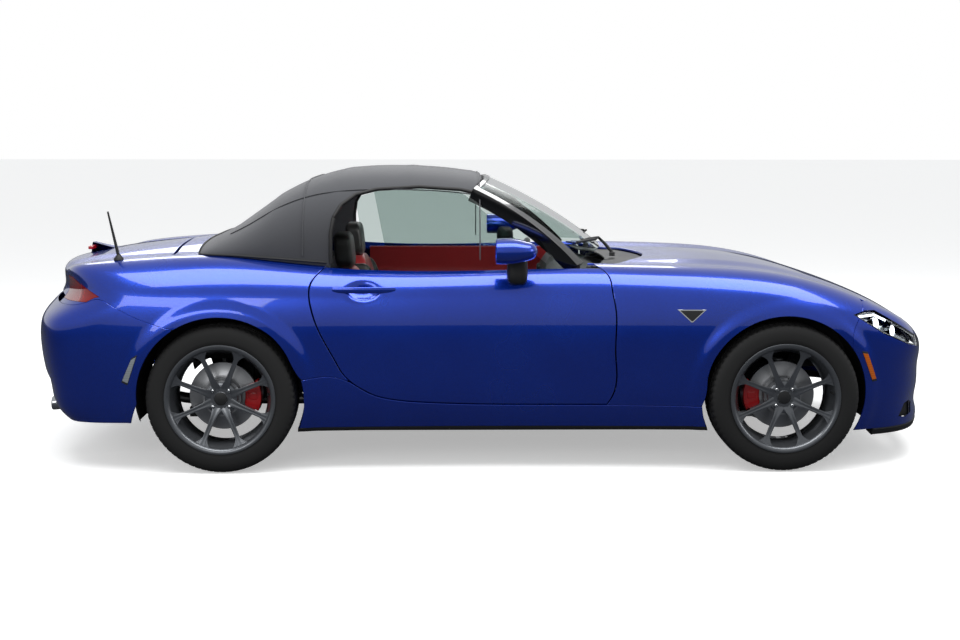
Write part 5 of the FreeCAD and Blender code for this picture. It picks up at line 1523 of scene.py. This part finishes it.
def caliper(axle: float, middle: float, way: int) -> list[tuple[Array, Array]]:
    """A brake caliper: a thin outer leg, a bridge over the disc and the cylinder body inside.

    Args:
        axle: X of the axle.
        middle: Y of the tyre's middle plane.
        way: 1 ahead of the hub, -1 behind it.

    Returns:
        Its rounded blocks.
    """
    # Each block spans an angle about the hub, a distance from the middle plane and a radius.
    blocks = (((-0.42, 1.9, 92), (0.42, 8.6, 152), 7), ((-0.44, -66, 144.6), (0.44, 8.2, 157), 7),
              ((-0.42, -68, 88), (0.42, -24, 156), 6), ((-0.2, -60, 100), (0.2, -70, 140), 4),
              ((-0.12, 6, 104), (0.12, 11.5, 140), 5))
    parts = []
    for low, high, power in blocks:
        points, faces = rounded_box(low, high, power, 18)
        angle, y, r = points[..., 0], points[..., 1], points[..., 2]
        points = vec(axle + way * r * np.cos(angle), middle + y, HUB_HEIGHT + r * np.sin(angle))
        parts.append((points, faces))
    return parts


class Lamps:
    """Head, tail, stop and marker lamps, with their lenses and what shows behind them."""

    def __init__(self) -> None:
        """Builds all the lamps."""
        for side in Side:
            self.head(side)
            self.tail(side)
            self.markers(side)
        self.stop()

    @staticmethod
    def shell(name: str, outer: Array, lift: float, depth: float, outline: Sequence, near: float,
              side: Side, finish: Finish, nodes: Sequence[str], slot: str) -> None:
        """A layer of a lamp: a sheet parallel to the skin, trimmed to the lamp's outline."""
        n = outward(Skin.body, outer)
        piece = make(name, [sheet(outer + n * lift, n, depth, 0.6)], finish, "car", nodes, side)
        carve(piece, side_bar(outline, near, side), "INTERSECT")

    def head(self, side: Side) -> None:
        """The headlamp: clear lens, metallised bowl, two lit projectors and a lit brow."""
        turn = np.radians(np.linspace(24, 88, 80))[:, None]
        z = np.linspace(452, 692, 50)[None, :] + 0 * turn
        outer = level_view(FRONT_AXLE + 200, turn, z)
        word, slot = side.word, "lamp_lens"
        trim, seam_line = shrink_outline(HEAD_LAMP, 1.5), shrink_outline(HEAD_LAMP, 5)
        self.shell("headlamp_lens_" + word, outer, 0.5, 3, trim, 561, side, LENS, ["headlamps"], slot)
        self.shell("headlamp_bowl_" + word, outer, -38, 4, trim, 520, side, BOWL, [], slot)
        line = resample(seam_line + seam_line[:1], 160)
        rim = on_side(line[:, 0], line[:, 1])
        rim = rim - outward(Skin.body, rim) * 9
        rim = tube(other_side(rim, side), 4, 8)
        make("headlamp_rim_" + word, [rim], GLOSS, "car")
        lights, cups = [], []
        ahead = unit(vec(0.75, 0.6, 0.1))
        for x, z, r in ((NOSE - 345, 612, 30), (NOSE - 262, 577, 27)):
            spot = on_side(np.array(x), np.array(z))
            spot = spot - outward(Skin.body, spot) * 22
            cups.append(tube([spot - ahead * 22, spot - ahead * 2, spot + ahead * 5],
                             [r * 0.7, r, r * 1.06], 32))
            lights.append(tube([spot + ahead * 1, spot + ahead * 6, spot + ahead * 9],
                               [r * 0.9, r * 0.85, r * 0.4], 32))
        x = np.linspace(NOSE - 425, NOSE - 300, 30)
        brow = on_side(x, np.interp(x, [NOSE - 425, NOSE - 352, NOSE - 300], [645, 650, 624]))
        lights.append(tube(brow - outward(Skin.body, brow) * 10, 4.5, 10))
        make("headlamp_cups_" + word, cups, CHROME, "car", side=side)
        make("headlamp_lights_" + word, lights, WHITE_LIGHT, "car", side=side)

    def tail(self, side: Side) -> None:
        """The tail lamp: red lens over a red reflector with lit bars and an amber lamp."""
        station = np.linspace(TAIL_POST + 10, TAIL_POST - SWING_RADIUS * TAIL_SWING, 90)[:, None]
        angle = np.linspace(0.32, 1.1, 60)[None, :]
        outer = on_section(station + 0 * angle, angle + 0 * station)
        word, slot = side.word, "red_lens"
        trim = shrink_outline(TAIL_LAMP, 1.5)
        self.shell("tail_lamp_lens_" + word, outer, 0.5, 3, trim, 482, side, RED_LENS, ["tail_lamps"], slot)
        self.shell("tail_lamp_back_" + word, outer, -14, 4, trim, 450, side, RED_ENAMEL, [], slot)
        # The bars end where the lamp ends, outside the boot lid's side.
        inner_end, bars = 492, []
        for level, first, last in ((0.66, TAIL + 300, TAIL + 130), (0.36, TAIL + 300, TAIL + 110)):
            x = np.linspace(first, last, 30)
            z = mix(np.interp(x, [TAIL + 20, TAIL + 330], [690, 702]),
                    np.interp(x, [TAIL + 20, TAIL + 240, TAIL + 380], [786, 784, 724]), level)
            spot = on_side(x, z)
            spot = spot[spot[:, 1] > inner_end]
            bars.append(tube(other_side(spot - outward(Skin.body, spot) * 7, side), 4.5, 10))
        make("tail_lamp_bars_" + word, bars, RED_LIGHT, "car")
        spot = on_side(np.array(TAIL + 215.0), np.array(738.0))
        n = outward(Skin.body, spot)
        amber = tube([spot - n * 16, spot - n * 6, spot - n * 3], [20, 19, 9], 24)
        make("turn_lamp_" + word, [amber], AMBER_LIGHT, "car", side=side)

    @staticmethod
    def markers(side: Side) -> None:
        """The slim side markers in the bumper covers."""
        for name, corners, finish in (
                ("front_marker_", [(1539, 502), (1566, 497), (1617, 373), (1594, 371)], AMBER),
                ("rear_marker_", [(-1431, 483), (-1406, 497), (-1453, 370), (-1480, 380)], SMOKE)):
            middle = np.array(corners).mean(axis=0)
            inner = [tuple(middle + (np.array(c) - middle) * 0.86) for c in corners]
            rim, lens = side_patch(corners, 0.7, 3), side_patch(inner, 2.0, 3)
            make(name + "rim_" + side.word, [rim], BLACK, "car", side=side)
            make(name + side.word, [lens], finish, "car", side=side)

    @staticmethod
    def stop() -> None:
        """The high stop lamp in its own bump on the boot lid."""
        x, y = np.linspace(TAIL + 158, TAIL + 306, 60)[:, None], np.linspace(-134, 134, 30)[None, :]
        base = on_top(x, np.abs(y))
        crest = mix(848, 882, (TAIL + 302 - x) / 126)
        fade = (1 - (np.abs(y) / 136) ** 5) * np.clip(crest - base[..., 2], 0, 60)
        fade = fade * smooth_step((x - TAIL - 159) / 9)
        up, depth = vec(0, 0, 1), 4
        outer = base + up * fade[..., None]
        n = up * (fade[..., None] + depth) / depth
        cover = sheet(outer + up, n, depth, 0.3)
        make("stop_lamp_cover", [cover], PAINT, "boot_lid", ["stop_lamp"])
        lens = rounded_box((TAIL + 162, -66, 856), (TAIL + 182, 66, 872), 8, 20)
        make("stop_lamp_lens", [lens], RED_ENAMEL, "boot_lid")


def shrink_outline(outline: Sequence[tuple[float, float]], by: float) -> list[tuple[float, float]]:
    """A closed outline drawn in by a distance along its corners' bisectors."""
    flat = np.array(outline, float)
    ahead = unit(np.roll(flat, -1, axis=0) - flat)
    area = np.sum(flat[:, 0] * np.roll(flat[:, 1], -1) - np.roll(flat[:, 0], -1) * flat[:, 1])
    left = np.stack([-ahead[:, 1], ahead[:, 0]], axis=-1) * np.sign(area)
    bisector = unit(left + np.roll(left, 1, axis=0))
    scale = by / np.maximum(np.einsum("ij,ij->i", bisector, left), 0.35)
    return [tuple(p) for p in flat + bisector * scale[:, None]]


class Trim:
    """Mirrors, side trim, splitter, cowl, wipers, aerial, grille bars, fuel lid and exhaust tips."""

    def __init__(self) -> None:
        """Builds the small outside pieces."""
        for side in Side:
            self.mirror(side)
            self.triangle(side)
        self.front()
        self.wipers()
        self.antenna()
        self.exhaust()
        fuel = side_patch([(-1205, 690), (-1085, 690), (-1085, 785), (-1205, 785)], 0.9, 3, 26)
        make("fuel_lid", [fuel], PAINT, "car")

    @staticmethod
    def mirror(side: Side) -> None:
        """The door mirror: painted cap, black foot, silvered glass."""
        x = np.array([40, 44, 60, 80, 105, 130, 155, 175, 192, 202, 207.5])
        half_y = Curve((40, 88), (80, 90), (130, 84), (175, 62), (200, 34), (208, 6))(x)
        half_z = Curve((40, 50), (80, 52), (130, 48), (175, 36), (200, 20), (208, 4))(x)
        turn = full_turn(MIRROR_SIDES)[None, :]
        c, s = np.cos(turn), np.sin(turn)
        power = 0.82
        y = 864 - 0.03 * (x[:, None] - 40) + half_y[:, None] * np.sign(c) * np.abs(c) ** power
        z = 915 + half_z[:, None] * np.sign(s) * np.abs(s) ** power
        rows = vec(x[:, None], y, z)
        dot, well_depth, front, back = 0.02, vec(8, 0, 0), vec(5.0, 0, 0), vec(7.5, 0, 0)
        inner, middle = rows[:1], rows[0].mean(axis=0)
        well = middle + (inner - middle) * 0.93
        rings = [middle + (inner - middle) * dot + well_depth, well + well_depth, well]
        nose = rows[-1].mean(axis=0) + (rows[-1:] - rows[-1].mean(axis=0)) * dot
        points = np.concatenate(rings + [rows, nose])
        word, body = side.word, "door_" + side.word
        cap = points, grid_faces(len(points), MIRROR_SIDES, False, True)
        make("mirror_cap_" + word, [cap], PAINT, body, ["mirror_" + word], side)
        well_dot = middle + (well - middle) * dot
        face = np.concatenate([well_dot + front, well + front, well + back, well_dot + back])
        glass = face, grid_faces(len(face), MIRROR_SIDES, False, True)
        make("mirror_glass_" + word, [glass], MIRROR, body, side=side)
        foot, faces = rounded_box((88, 722, 770), (172, 806, 905), 4, 24)
        height = foot[..., 2]
        base = on_top(np.clip(foot[..., 0], 80, 180), np.abs(foot[..., 1]))[..., 2] + 1.0
        foot[..., 2] = np.where(height < 835, np.maximum(height, base), height)
        make("mirror_foot_" + word, [(foot, faces)], BLACK, body, side=side)

    @staticmethod
    def triangle(side: Side) -> None:
        """The dark three-cornered fender trim in its bright frame, and the floor of the front vent."""
        rim = [(780, 674), (898, 674), (842, 622), (836, 622)]
        core = [(790, 670), (888, 670), (842, 627), (837, 627)]
        vent = [(1742, 190), (1832, 190), (1832, 266), (1742, 266)]
        for name, corners, lift, depth, finish, slot in (
                ("fender_trim_rim_", rim, 0.8, 2.5, CHROME, "steel"),
                ("fender_trim_", core, 1.8, 2.5, BLACK, "black_plastic"),
                ("front_vent_", vent, -14, 3, BLACK, "black_plastic")):
            make(name + side.word, [side_patch(corners, lift, depth)], finish, "car", side=side)

    @staticmethod
    def front() -> None:
        """The splitter, the cowl panel and the rounded bars of the grille."""
        turn = np.radians(np.linspace(-66, 66, 160))[:, None]
        z = mix(131, 157.6, np.linspace(0, 1, 10))[None, :] + 0 * turn
        low = level_view(NOSE_POST, turn, z)
        n = outward(Skin.body, low)
        make("splitter", [sheet(low + n * 3, n, 40, 3)], BLACK, "car", ["splitter"])
        y = np.linspace(-585, 585, 90)[None, :]
        x = mix(screen_foot(y) + 14, bonnet_rear(y) - SHUT, np.linspace(0, 1, 24)[:, None])
        spot = on_top(x, np.abs(y))
        spot[..., 1] = y
        n = np.broadcast_to(vec(0, 0, 1), spot.shape)
        rib_pitch, sunk = 26, 14
        ribs = 2.0 * smooth_step((np.cos((y + 0 * x) * 2 * np.pi / rib_pitch) - 0.3) / 0.4)
        panel = sheet(spot - n * (sunk - ribs)[..., None], n, 6)
        make("cowl", [panel], BLACK, "car", ["cowl"])
        bars = []
        half = 440
        y = np.linspace(-half, half, 60)
        bow = NOSE - 106 + 14 * (1 - (y / half) ** 2) - 8
        for z in range(202, 446, 27):
            bars.append(tube(vec(bow, y, z), 5.5, 8))
        for y in np.linspace(-400, 400, 9):
            bars.append(tube([(NOSE - 112, y, z) for z in (200, 300, 436)], 5, 8))
        make("grille", bars, BLACK, "car", ["grille"])

    @staticmethod
    def wipers() -> None:
        """Two wipers: pivot cap, bent arm, spring blade and rubber lip."""
        metal, lips = [], []
        lift, width = vec(0.513, 0, 0.858), 1280
        for y in (450.0, -80.0):
            end = y - 430
            foot = np.array([screen_foot(y) + 50, y, 0])
            foot[2] = float(on_top(np.array(foot[0]), np.array(abs(y)))[..., 2]) - 6
            low = screen_at(np.array(0.05), np.array(0.5 + y / width)) + lift * 22
            high = screen_at(np.array(0.14), np.array(0.5 + end / width)) + lift * 16
            metal.append(tube([foot, foot + vec(0, 0, 16), foot + vec(0, 0, 20)], [13, 13, 8], 20))
            path = np.array([foot + vec(0, 0, 18), foot * 0.4 + low * 0.6 + vec(0, 0, 10), low,
                             low * 0.5 + high * 0.5 + lift * 5, low * 0.25 + high * 0.75 + lift * 2])
            metal.append(tube(path, [8, 7, 6, 5, 4], 10))
            share = np.linspace(0.04, 1.0, 30)
            blade = screen_at(mix(0.055, 0.14, share), 0.5 + (y + (end - y) * share) / width)
            metal.append(tube(blade + lift * 13, 4.5, 8))
            lips.append(tube(blade + lift * 7, 2.8, 6))
        make("wiper_arms", metal, BLACK, "car", ["wipers"])
        make("wiper_lips", lips, SEAL, "car")

    @staticmethod
    def antenna() -> None:
        """The short rubber aerial with its moulded foot, coiled rib showing on the mast."""
        base = other_side(on_top(np.array(TAIL + 440), np.array(656.0)), Side.RIGHT)
        way = unit(vec(-0.21, 0, 1))
        share = np.linspace(0, 1, 80)
        radius = mix(7.0, 3.6, share) + 0.6 * np.cos(share * 2 * np.pi * 26)
        mast = tube(base + vec(0, 0, 14) + way * (share * 190)[:, None], radius, 14)
        foot = tube([base, base + vec(0, 0, 8), base + vec(0, 0, 18), base + vec(0, 0, 22)],
                    [21, 19, 11, 8], 24)
        make("antenna", [mast, foot], SEAL, "car", ["antenna"])

    @staticmethod
    def exhaust() -> None:
        """The muffler, the pipe along the floor and two bright open tips."""
        pipe = np.linspace(0, 1, 30)
        y, low = -150, 182
        rear = vec(mix(TAIL + 320, REAR_AXLE - 215, pipe), y, mix(250, low, smooth_step(pipe)))
        path = np.concatenate([rear, vec(np.linspace(REAR_AXLE - 210, REAR_AXLE + 330, 12), y, low)])
        box = rounded_box((TAIL + 150, -470, 225), (TAIL + 330, 300, 380), 5, 30)
        make("exhaust", [box, tube(path, 24, 20)], STEEL, "car", ["exhaust"])
        tips = []
        sides, start = 40, 94
        turn = full_turn(sides)[None, :]
        # Each ring's place ahead of the tail and its radius: outside, round the rim and back inside.
        rings = ((190, 26), (185, 29), (101, 30), (96, 29.5), (start, 28), (100, 26.5), (180, 25))
        for y in (-400, -476):
            rows = [vec(TAIL + along, y + r * np.cos(turn), 226 + (along - start) / 13 + r * np.sin(turn))
                    for along, r in rings]
            rows.append(vec(TAIL + 180, y + 0.3 * np.cos(turn), 235 + 0.3 * np.sin(turn)))
            tips.append((np.concatenate(rows), grid_faces(len(rows), sides, False, True)))
        make("exhaust_tips", tips, CHROME, "car", closed=False)


COLUMN_FOOT, WHEEL_CENTRE = vec(330, SEAT_Y, 660), vec(196, SEAT_Y, 700)
COLUMN_WAY = unit(WHEEL_CENTRE - COLUMN_FOOT)


class Cabin:
    """Seats, door linings, dashboard, steering wheel, rear shelf, tunnel and gear lever."""

    def __init__(self) -> None:
        """Builds the interior."""
        for side in Side:
            self.seat(side)
            self.lining(side)
        self.dashboard()
        self.wheel()
        shelf = rounded_box((-790, -600, 770), (-705, 600, 800), 8, 24)
        tunnel = rounded_box((-690, -92, 330), (300, 92, 420), 7, 30)
        make("rear_shelf", [shelf, tunnel], SOFT_SKIN, "car")
        knob = rounded_box((20, -26, 470), (72, 26, 522), 3, 18)
        boot = tube([(46, 0, 415), (46, 0, 440), (46, 0, 475)], [40, 20, 8], 24)
        make("gear_lever", [knob, boot], BLACK_LEATHER, "car")

    @staticmethod
    def pad(low: Sequence[float], high: Sequence[float], crown: float, flutes: int,
            lean: float = 0.0) -> tuple[Array, Array]:
        """A stuffed cushion: rounded sides that pull in between the corners, crowned and fluted.

        Args:
            low: its lowest corner.
            high: its highest corner.
            crown: how much its middle swells.
            flutes: sewn channels across it.
            lean: how far its top leans back for each unit of height.

        Returns:
            Points and quads.
        """
        points, faces = rounded_box(low, high, 4.5, 36)
        lowest, highest = np.array(low, float), np.array(high, float)
        middle, half = (lowest + highest) / 2, (highest - lowest) / 2
        share = (points - middle) / half
        swell = crown * np.prod(np.maximum(1 - np.delete(share, 1, axis=-1) ** 2, 0), axis=-1)
        waist = 1 - 0.035 * (1 - share[..., 0] ** 2) * (1 - share[..., 2] ** 2)
        groove = 1 - 0.028 * np.exp(-((np.mod(share[..., 1] * flutes / 2 + 0.5, 1) - 0.5) / 0.07) ** 2)
        thin = int(np.argmin(half))
        pull = np.where(np.arange(3) == thin, groove[..., None], waist[..., None])
        points = middle + (points - middle) * pull
        points[..., thin] += np.sign(share[..., thin]) * swell
        points[..., 0] -= lean * (points[..., 2] - low[2])
        return points, faces

    def seat(self, side: Side) -> None:
        """One seat: base, cushion with side bolsters, backrest, headrest."""
        word = side.word
        # Each row: name, places across the seat, half width, rear low end, front high end, crown, flutes,
        # lean, finish and how firmly it is filled.
        red, black = RED_LEATHER, BLACK_LEATHER
        rows = (("seat_cushion_", (0,), 150, (-500, 290), (-40, 372), 12, 4, 0.0, red, 0.65),
                ("seat_bolsters_", (-176, 176), 34, (-520, 286), (-60, 392), 6, 1, 0.0, black, 0.7),
                ("seat_back_", (0,), 150, (-540, 370), (-440, 805), 14, 4, 0.24, red, 0.65),
                ("seat_back_bolsters_", (-172, 172), 30, (-545, 372), (-425, 770), 8, 1, 0.24, black, 0.7),
                ("headrest_", (0,), 118, (-640, 800), (-560, 955), 10, 1, 0.1, black, 0.75))
        for name, places, half, (rear, low), (front, high), crown, flutes, lean, finish, fill in rows:
            parts = []
            for y in places:
                corners = (rear, SEAT_Y + y - half, low), (front, SEAT_Y + y + half, high)
                parts.append(self.pad(*corners, crown, flutes, lean))
            nodes = ["seat_" + word] if name == "seat_cushion_" else []
            piece = make(name + word, parts, finish, "car", nodes, side, sharp=60)
        shell = rounded_box((-545, SEAT_Y - 190, 176), (-50, SEAT_Y + 190, 300), 7, 24)
        make("seat_base_" + word, [shell], BLACK, "car", side=side)

    @staticmethod
    def lining(side: Side) -> None:
        """The red door lining, from above the sill to below the pane, with its dark armrest."""
        word, body = side.word, "door_" + side.word
        x = np.linspace(-560, 430, 60)[:, None]
        share = np.linspace(0, 1, 40)[None, :]
        top, shoulder = 812, 760
        height = mix(sill_top(x) + 40, top, share)
        skin = on_side(x, np.minimum(height, shoulder))
        inner_y = np.minimum(skin[..., 1] - 52, 700 - 0.28 * np.maximum(height - 700, 0))
        swell = 16 * smooth_step((height - 520) / 40) * smooth_step((640 - height) / 40)
        spot = vec(x, inner_y - swell, height)
        panel = sheet(spot, np.broadcast_to(vec(0, -1, 0), spot.shape), 10, 4)
        make("door_lining_" + word, [panel], RED_LEATHER, body, side=side)
        rest = rounded_box((-380, 610, 560), (120, 668, 612), 5, 26)
        make("door_armrest_" + word, [rest], BLACK_LEATHER, body, side=side)

    @staticmethod
    def dashboard() -> None:
        """The dashboard: a soft roll across the cabin with a hood over the dials and round vents."""
        profile = np.array([(330, 560), (306, 600), (292, 650), (290, 700), (300, 745), (322, 776),
                            (352, 792), (400, 795), (470, 786), (540, 766), (620, 752), (634, 740),
                            (634, 570), (600, 556)])
        y = np.linspace(-584, 584, 110)[:, None]
        x, z = profile[None, :, 0], profile[None, :, 1]
        hood = 26 * smooth_step((190 - np.abs(y - SEAT_Y)) / 60)
        rows = vec(x, y, z + hood * np.exp(-((x - 350) / 60) ** 2) * (z > 730))
        ends = [row.mean(axis=1, keepdims=True) + 0 * row for row in (rows[:1], rows[-1:])]
        points = np.concatenate([ends[0], rows, ends[1]])
        roll = points, grid_faces(len(points), len(profile), False, True)
        make("dashboard", [roll], SOFT_SKIN, "car", ["dashboard"])
        vents = [tube([(300, y_vent, 700), (284, y_vent, 702), (281, y_vent, 702)], [38, 38, 33], 32)
                 for y_vent in (-520, -90, 90, 520)]
        make("dash_vents", vents, BLACK, "car")
        tapered = tube([COLUMN_FOOT + COLUMN_WAY * s for s in (-10, 60, 128)], [36, 34, 28], 28)
        make("steering_column", [tapered], BLACK, "car")

    @staticmethod
    def wheel() -> None:
        """The steering wheel: leather rim, three spokes and a bare middle pad."""
        way, side = COLUMN_WAY, vec(0, 1, 0)
        centre = WHEEL_CENTRE + way * 20.3
        up = unit(np.cross(way, side))
        up = up * np.sign(up[2])
        steps, sides, radius, thick = 96, 18, 168, 14
        turn = full_turn(steps)[:, None]
        ring = full_turn(sides)[None, :]
        reach = radius + thick * np.cos(ring)
        points = (centre + side * (reach * np.cos(turn))[..., None] + up * (reach * np.sin(turn))[..., None]
                  + way * (thick * np.sin(ring) + 0 * turn)[..., None])
        grip = points, grid_faces(steps, sides, True, True)
        make("steering_rim", [grip], BLACK_LEATHER, "steering_wheel", ["steering_wheel"])
        spokes = []
        for angle in (math.radians(8), math.radians(172), math.radians(270)):
            out = side * math.cos(angle) + up * math.sin(angle)
            spokes.append(tube([centre + out * s for s in (30, 90, 158)], [16, 11, 9], 14))
        hub, faces = rounded_box((-58, -58, -18), (58, 58, 18), 3.2, 24)
        hub = centre + side * hub[..., 0:1] + up * hub[..., 1:2] + way * hub[..., 2:3]
        make("steering_spokes", spokes + [(hub, faces)], BLACK, "steering_wheel")


def arch_lining() -> None:
    """The black fibre lining of each arch, from its lip inward over the wheel."""
    parts = []
    turn = np.linspace(math.radians(-16), math.radians(196), 72)[:, None]
    inward = np.linspace(0, 1, 16)[None, :]
    for side in Side:
        for axle, reach in ((FRONT_AXLE, 366.0), (REAR_AXLE, 357.0)):
            r = ARCH + (reach - ARCH) * smooth_step(inward * 6) + 0 * turn
            x, z = axle + r * np.cos(turn), HUB_HEIGHT + r * np.sin(turn)
            edge = on_side(axle + ARCH * np.cos(turn), HUB_HEIGHT + ARCH * np.sin(turn))[..., 1] - COVER
            y = mix(edge, 480.0, inward)
            n = unit(vec(-np.cos(turn) + 0 * r, 0, -np.sin(turn)))
            points, faces = sheet(vec(x, y, z), n, 3, 0.8)
            parts.append((other_side(points, side), faces))
    make("arch_liners", parts, LINER, "car", ["arch_liners"])


def dress_frame() -> None:
    """Gives each CAD node that stays in view the finish of what it is made of."""
    arch_lining()
    finishes = {"floor_tub": COATED, "front_subframe": COATED, "rear_subframe": COATED,
                "engine": CAST, "driveline": STEEL, "knuckle_left": CAST, "knuckle_right": CAST}
    for name, finish in finishes.items():
        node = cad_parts[name]
        node.data.materials.clear()
        node.data.materials.append(finish.material())
    for side in Side:
        name = "front_caliper_" + side.word
        parts = caliper(FRONT_AXLE, FRONT_TRACK / 2, -1)
        make(name, parts, CALIPER, "knuckle_" + side.word, [name], side)
    parts = both_sides(caliper(REAR_AXLE, REAR_TRACK / 2, 1))
    make("rear_calipers", parts, CALIPER, "car", ["rear_calipers"])


def two_faced(tree: bpy.types.NodeTree, shown: bpy.types.NodeSocket,
              hidden: bpy.types.NodeSocket) -> bpy.types.NodeSocket:
    """A shader that shows one look to the camera, also through glass, and another to all other rays."""
    ray = add(tree, "LightPath").outputs
    direct = add(tree, "Math", {0: ray["Is Camera Ray"], 1: ray["Is Transmission Ray"]},
                 operation="MAXIMUM")
    return add(tree, "MixShader", {0: direct.outputs[0], 1: hidden, 2: shown}).outputs[0]


def floor_material() -> bpy.types.Material:
    """The floor: white paper that takes the shadow in view, and darker for what the paint mirrors."""
    material = FLOOR.material()
    tree = material.node_tree
    out = next(node for node in tree.nodes if node.bl_idname == "ShaderNodeOutputMaterial")
    paper = out.inputs["Surface"].links[0].from_socket
    lift = add(tree, "Emission", {"Color": linear("FFFFFF"), "Strength": 0.42})
    bright = add(tree, "AddShader", {0: paper, 1: lift.outputs[0]})
    dark = add(tree, "BsdfDiffuse", {"Color": linear("4A4C50")})
    tree.links.new(two_faced(tree, bright.outputs[0], dark.outputs[0]), out.inputs["Surface"])
    return material


def studio() -> None:
    """A pale floor, a large soft light overhead, weaker fills round the car and a pale world."""
    scene = bpy.context.scene
    scene.view_settings.view_transform = "Standard"
    mesh = bpy.data.meshes.new("floor")
    half = 60.0
    corners = [(x * half, y * half, 0.0) for x, y in ((-1, -1), (1, -1), (1, 1), (-1, 1))]
    mesh.from_pydata(corners, [], [(0, 1, 2, 3)])
    floor = bpy.data.objects.new("floor", mesh)
    scene.collection.objects.link(floor)
    mesh.materials.append(floor_material())
    for name, place, aim, width, depth, power in (
            ("overhead", (0.3, -1.2, 4.6), (0, 0, 0.4), 7.0, 3.0, 330.0),
            ("near_fill", (-3.0, -6.5, 2.8), (0, 0, 0.6), 4.5, 1.6, 90.0),
            ("nose_fill", (6.5, -2.0, 2.4), (0.8, 0, 0.5), 2.6, 2.0, 50.0),
            ("far_rim", (-1.0, 5.5, 3.2), (0, 0, 0.8), 6.0, 1.2, 70.0),
            ("cabin_fill", (-0.1, -0.3, 1.12), (0.0, 0.7, 0.6), 0.6, 0.1, 5.0)):
        light = bpy.data.lights.new(name, "AREA")
        light.shape, light.size, light.size_y, light.energy = "RECTANGLE", width, depth, power
        lamp = bpy.data.objects.new(name, light)
        lamp.location = place
        lamp.rotation_euler = (Vector(aim) - Vector(place)).to_track_quat("-Z", "Y").to_euler()
        scene.collection.objects.link(lamp)
    world = bpy.data.worlds.new("studio")
    scene.world = world
    world.use_nodes = True
    tree = world.node_tree
    tree.nodes.clear()
    shown = add(tree, "Background", {"Color": linear("FFFFFF"), "Strength": 1.0})
    lit = add(tree, "Background", {"Color": linear("F4F6F8"), "Strength": 0.6})
    out = add(tree, "OutputWorld")
    tree.links.new(two_faced(tree, shown.outputs[0], lit.outputs[0]), out.inputs["Surface"])


def camera() -> None:
    """The camera where the photograph was taken, solved from the known points of the car."""
    data = bpy.data.cameras.new("camera")
    data.sensor_width, data.lens = 36.0, 53.53
    data.clip_end = 200.0
    eye = bpy.data.objects.new("camera", data)
    yaw, pitch, roll = -0.0163, -0.133, 0.0009
    ahead = Vector((-math.sin(yaw) * math.cos(pitch), math.cos(yaw) * math.cos(pitch), math.sin(pitch)))
    right = Vector((math.cos(yaw), math.sin(yaw), 0.0))
    up = right.cross(ahead)
    turned_right = right * math.cos(roll) + up * math.sin(roll)
    turned_up = turned_right.cross(ahead)
    turn = Matrix((turned_right, turned_up, -ahead)).transposed()
    place = Vector((-0.1173, -6.5734, 1.4010))
    eye.matrix_world = Matrix.Translation(place) @ turn.to_4x4()
    bpy.context.scene.collection.objects.link(eye)
    bpy.context.scene.camera = eye


def main() -> None:
    """Builds every piece, then the studio and the camera."""
    logging.basicConfig(level=logging.INFO, format="%(message)s")
    Painted()
    Shelter()
    for end in ("front", "rear"):
        for side in Side:
            Wheel(end, side).build()
    Lamps()
    Trim()
    Cabin()
    dress_frame()
    studio()
    camera()


if __name__ == "__main__":
    main()
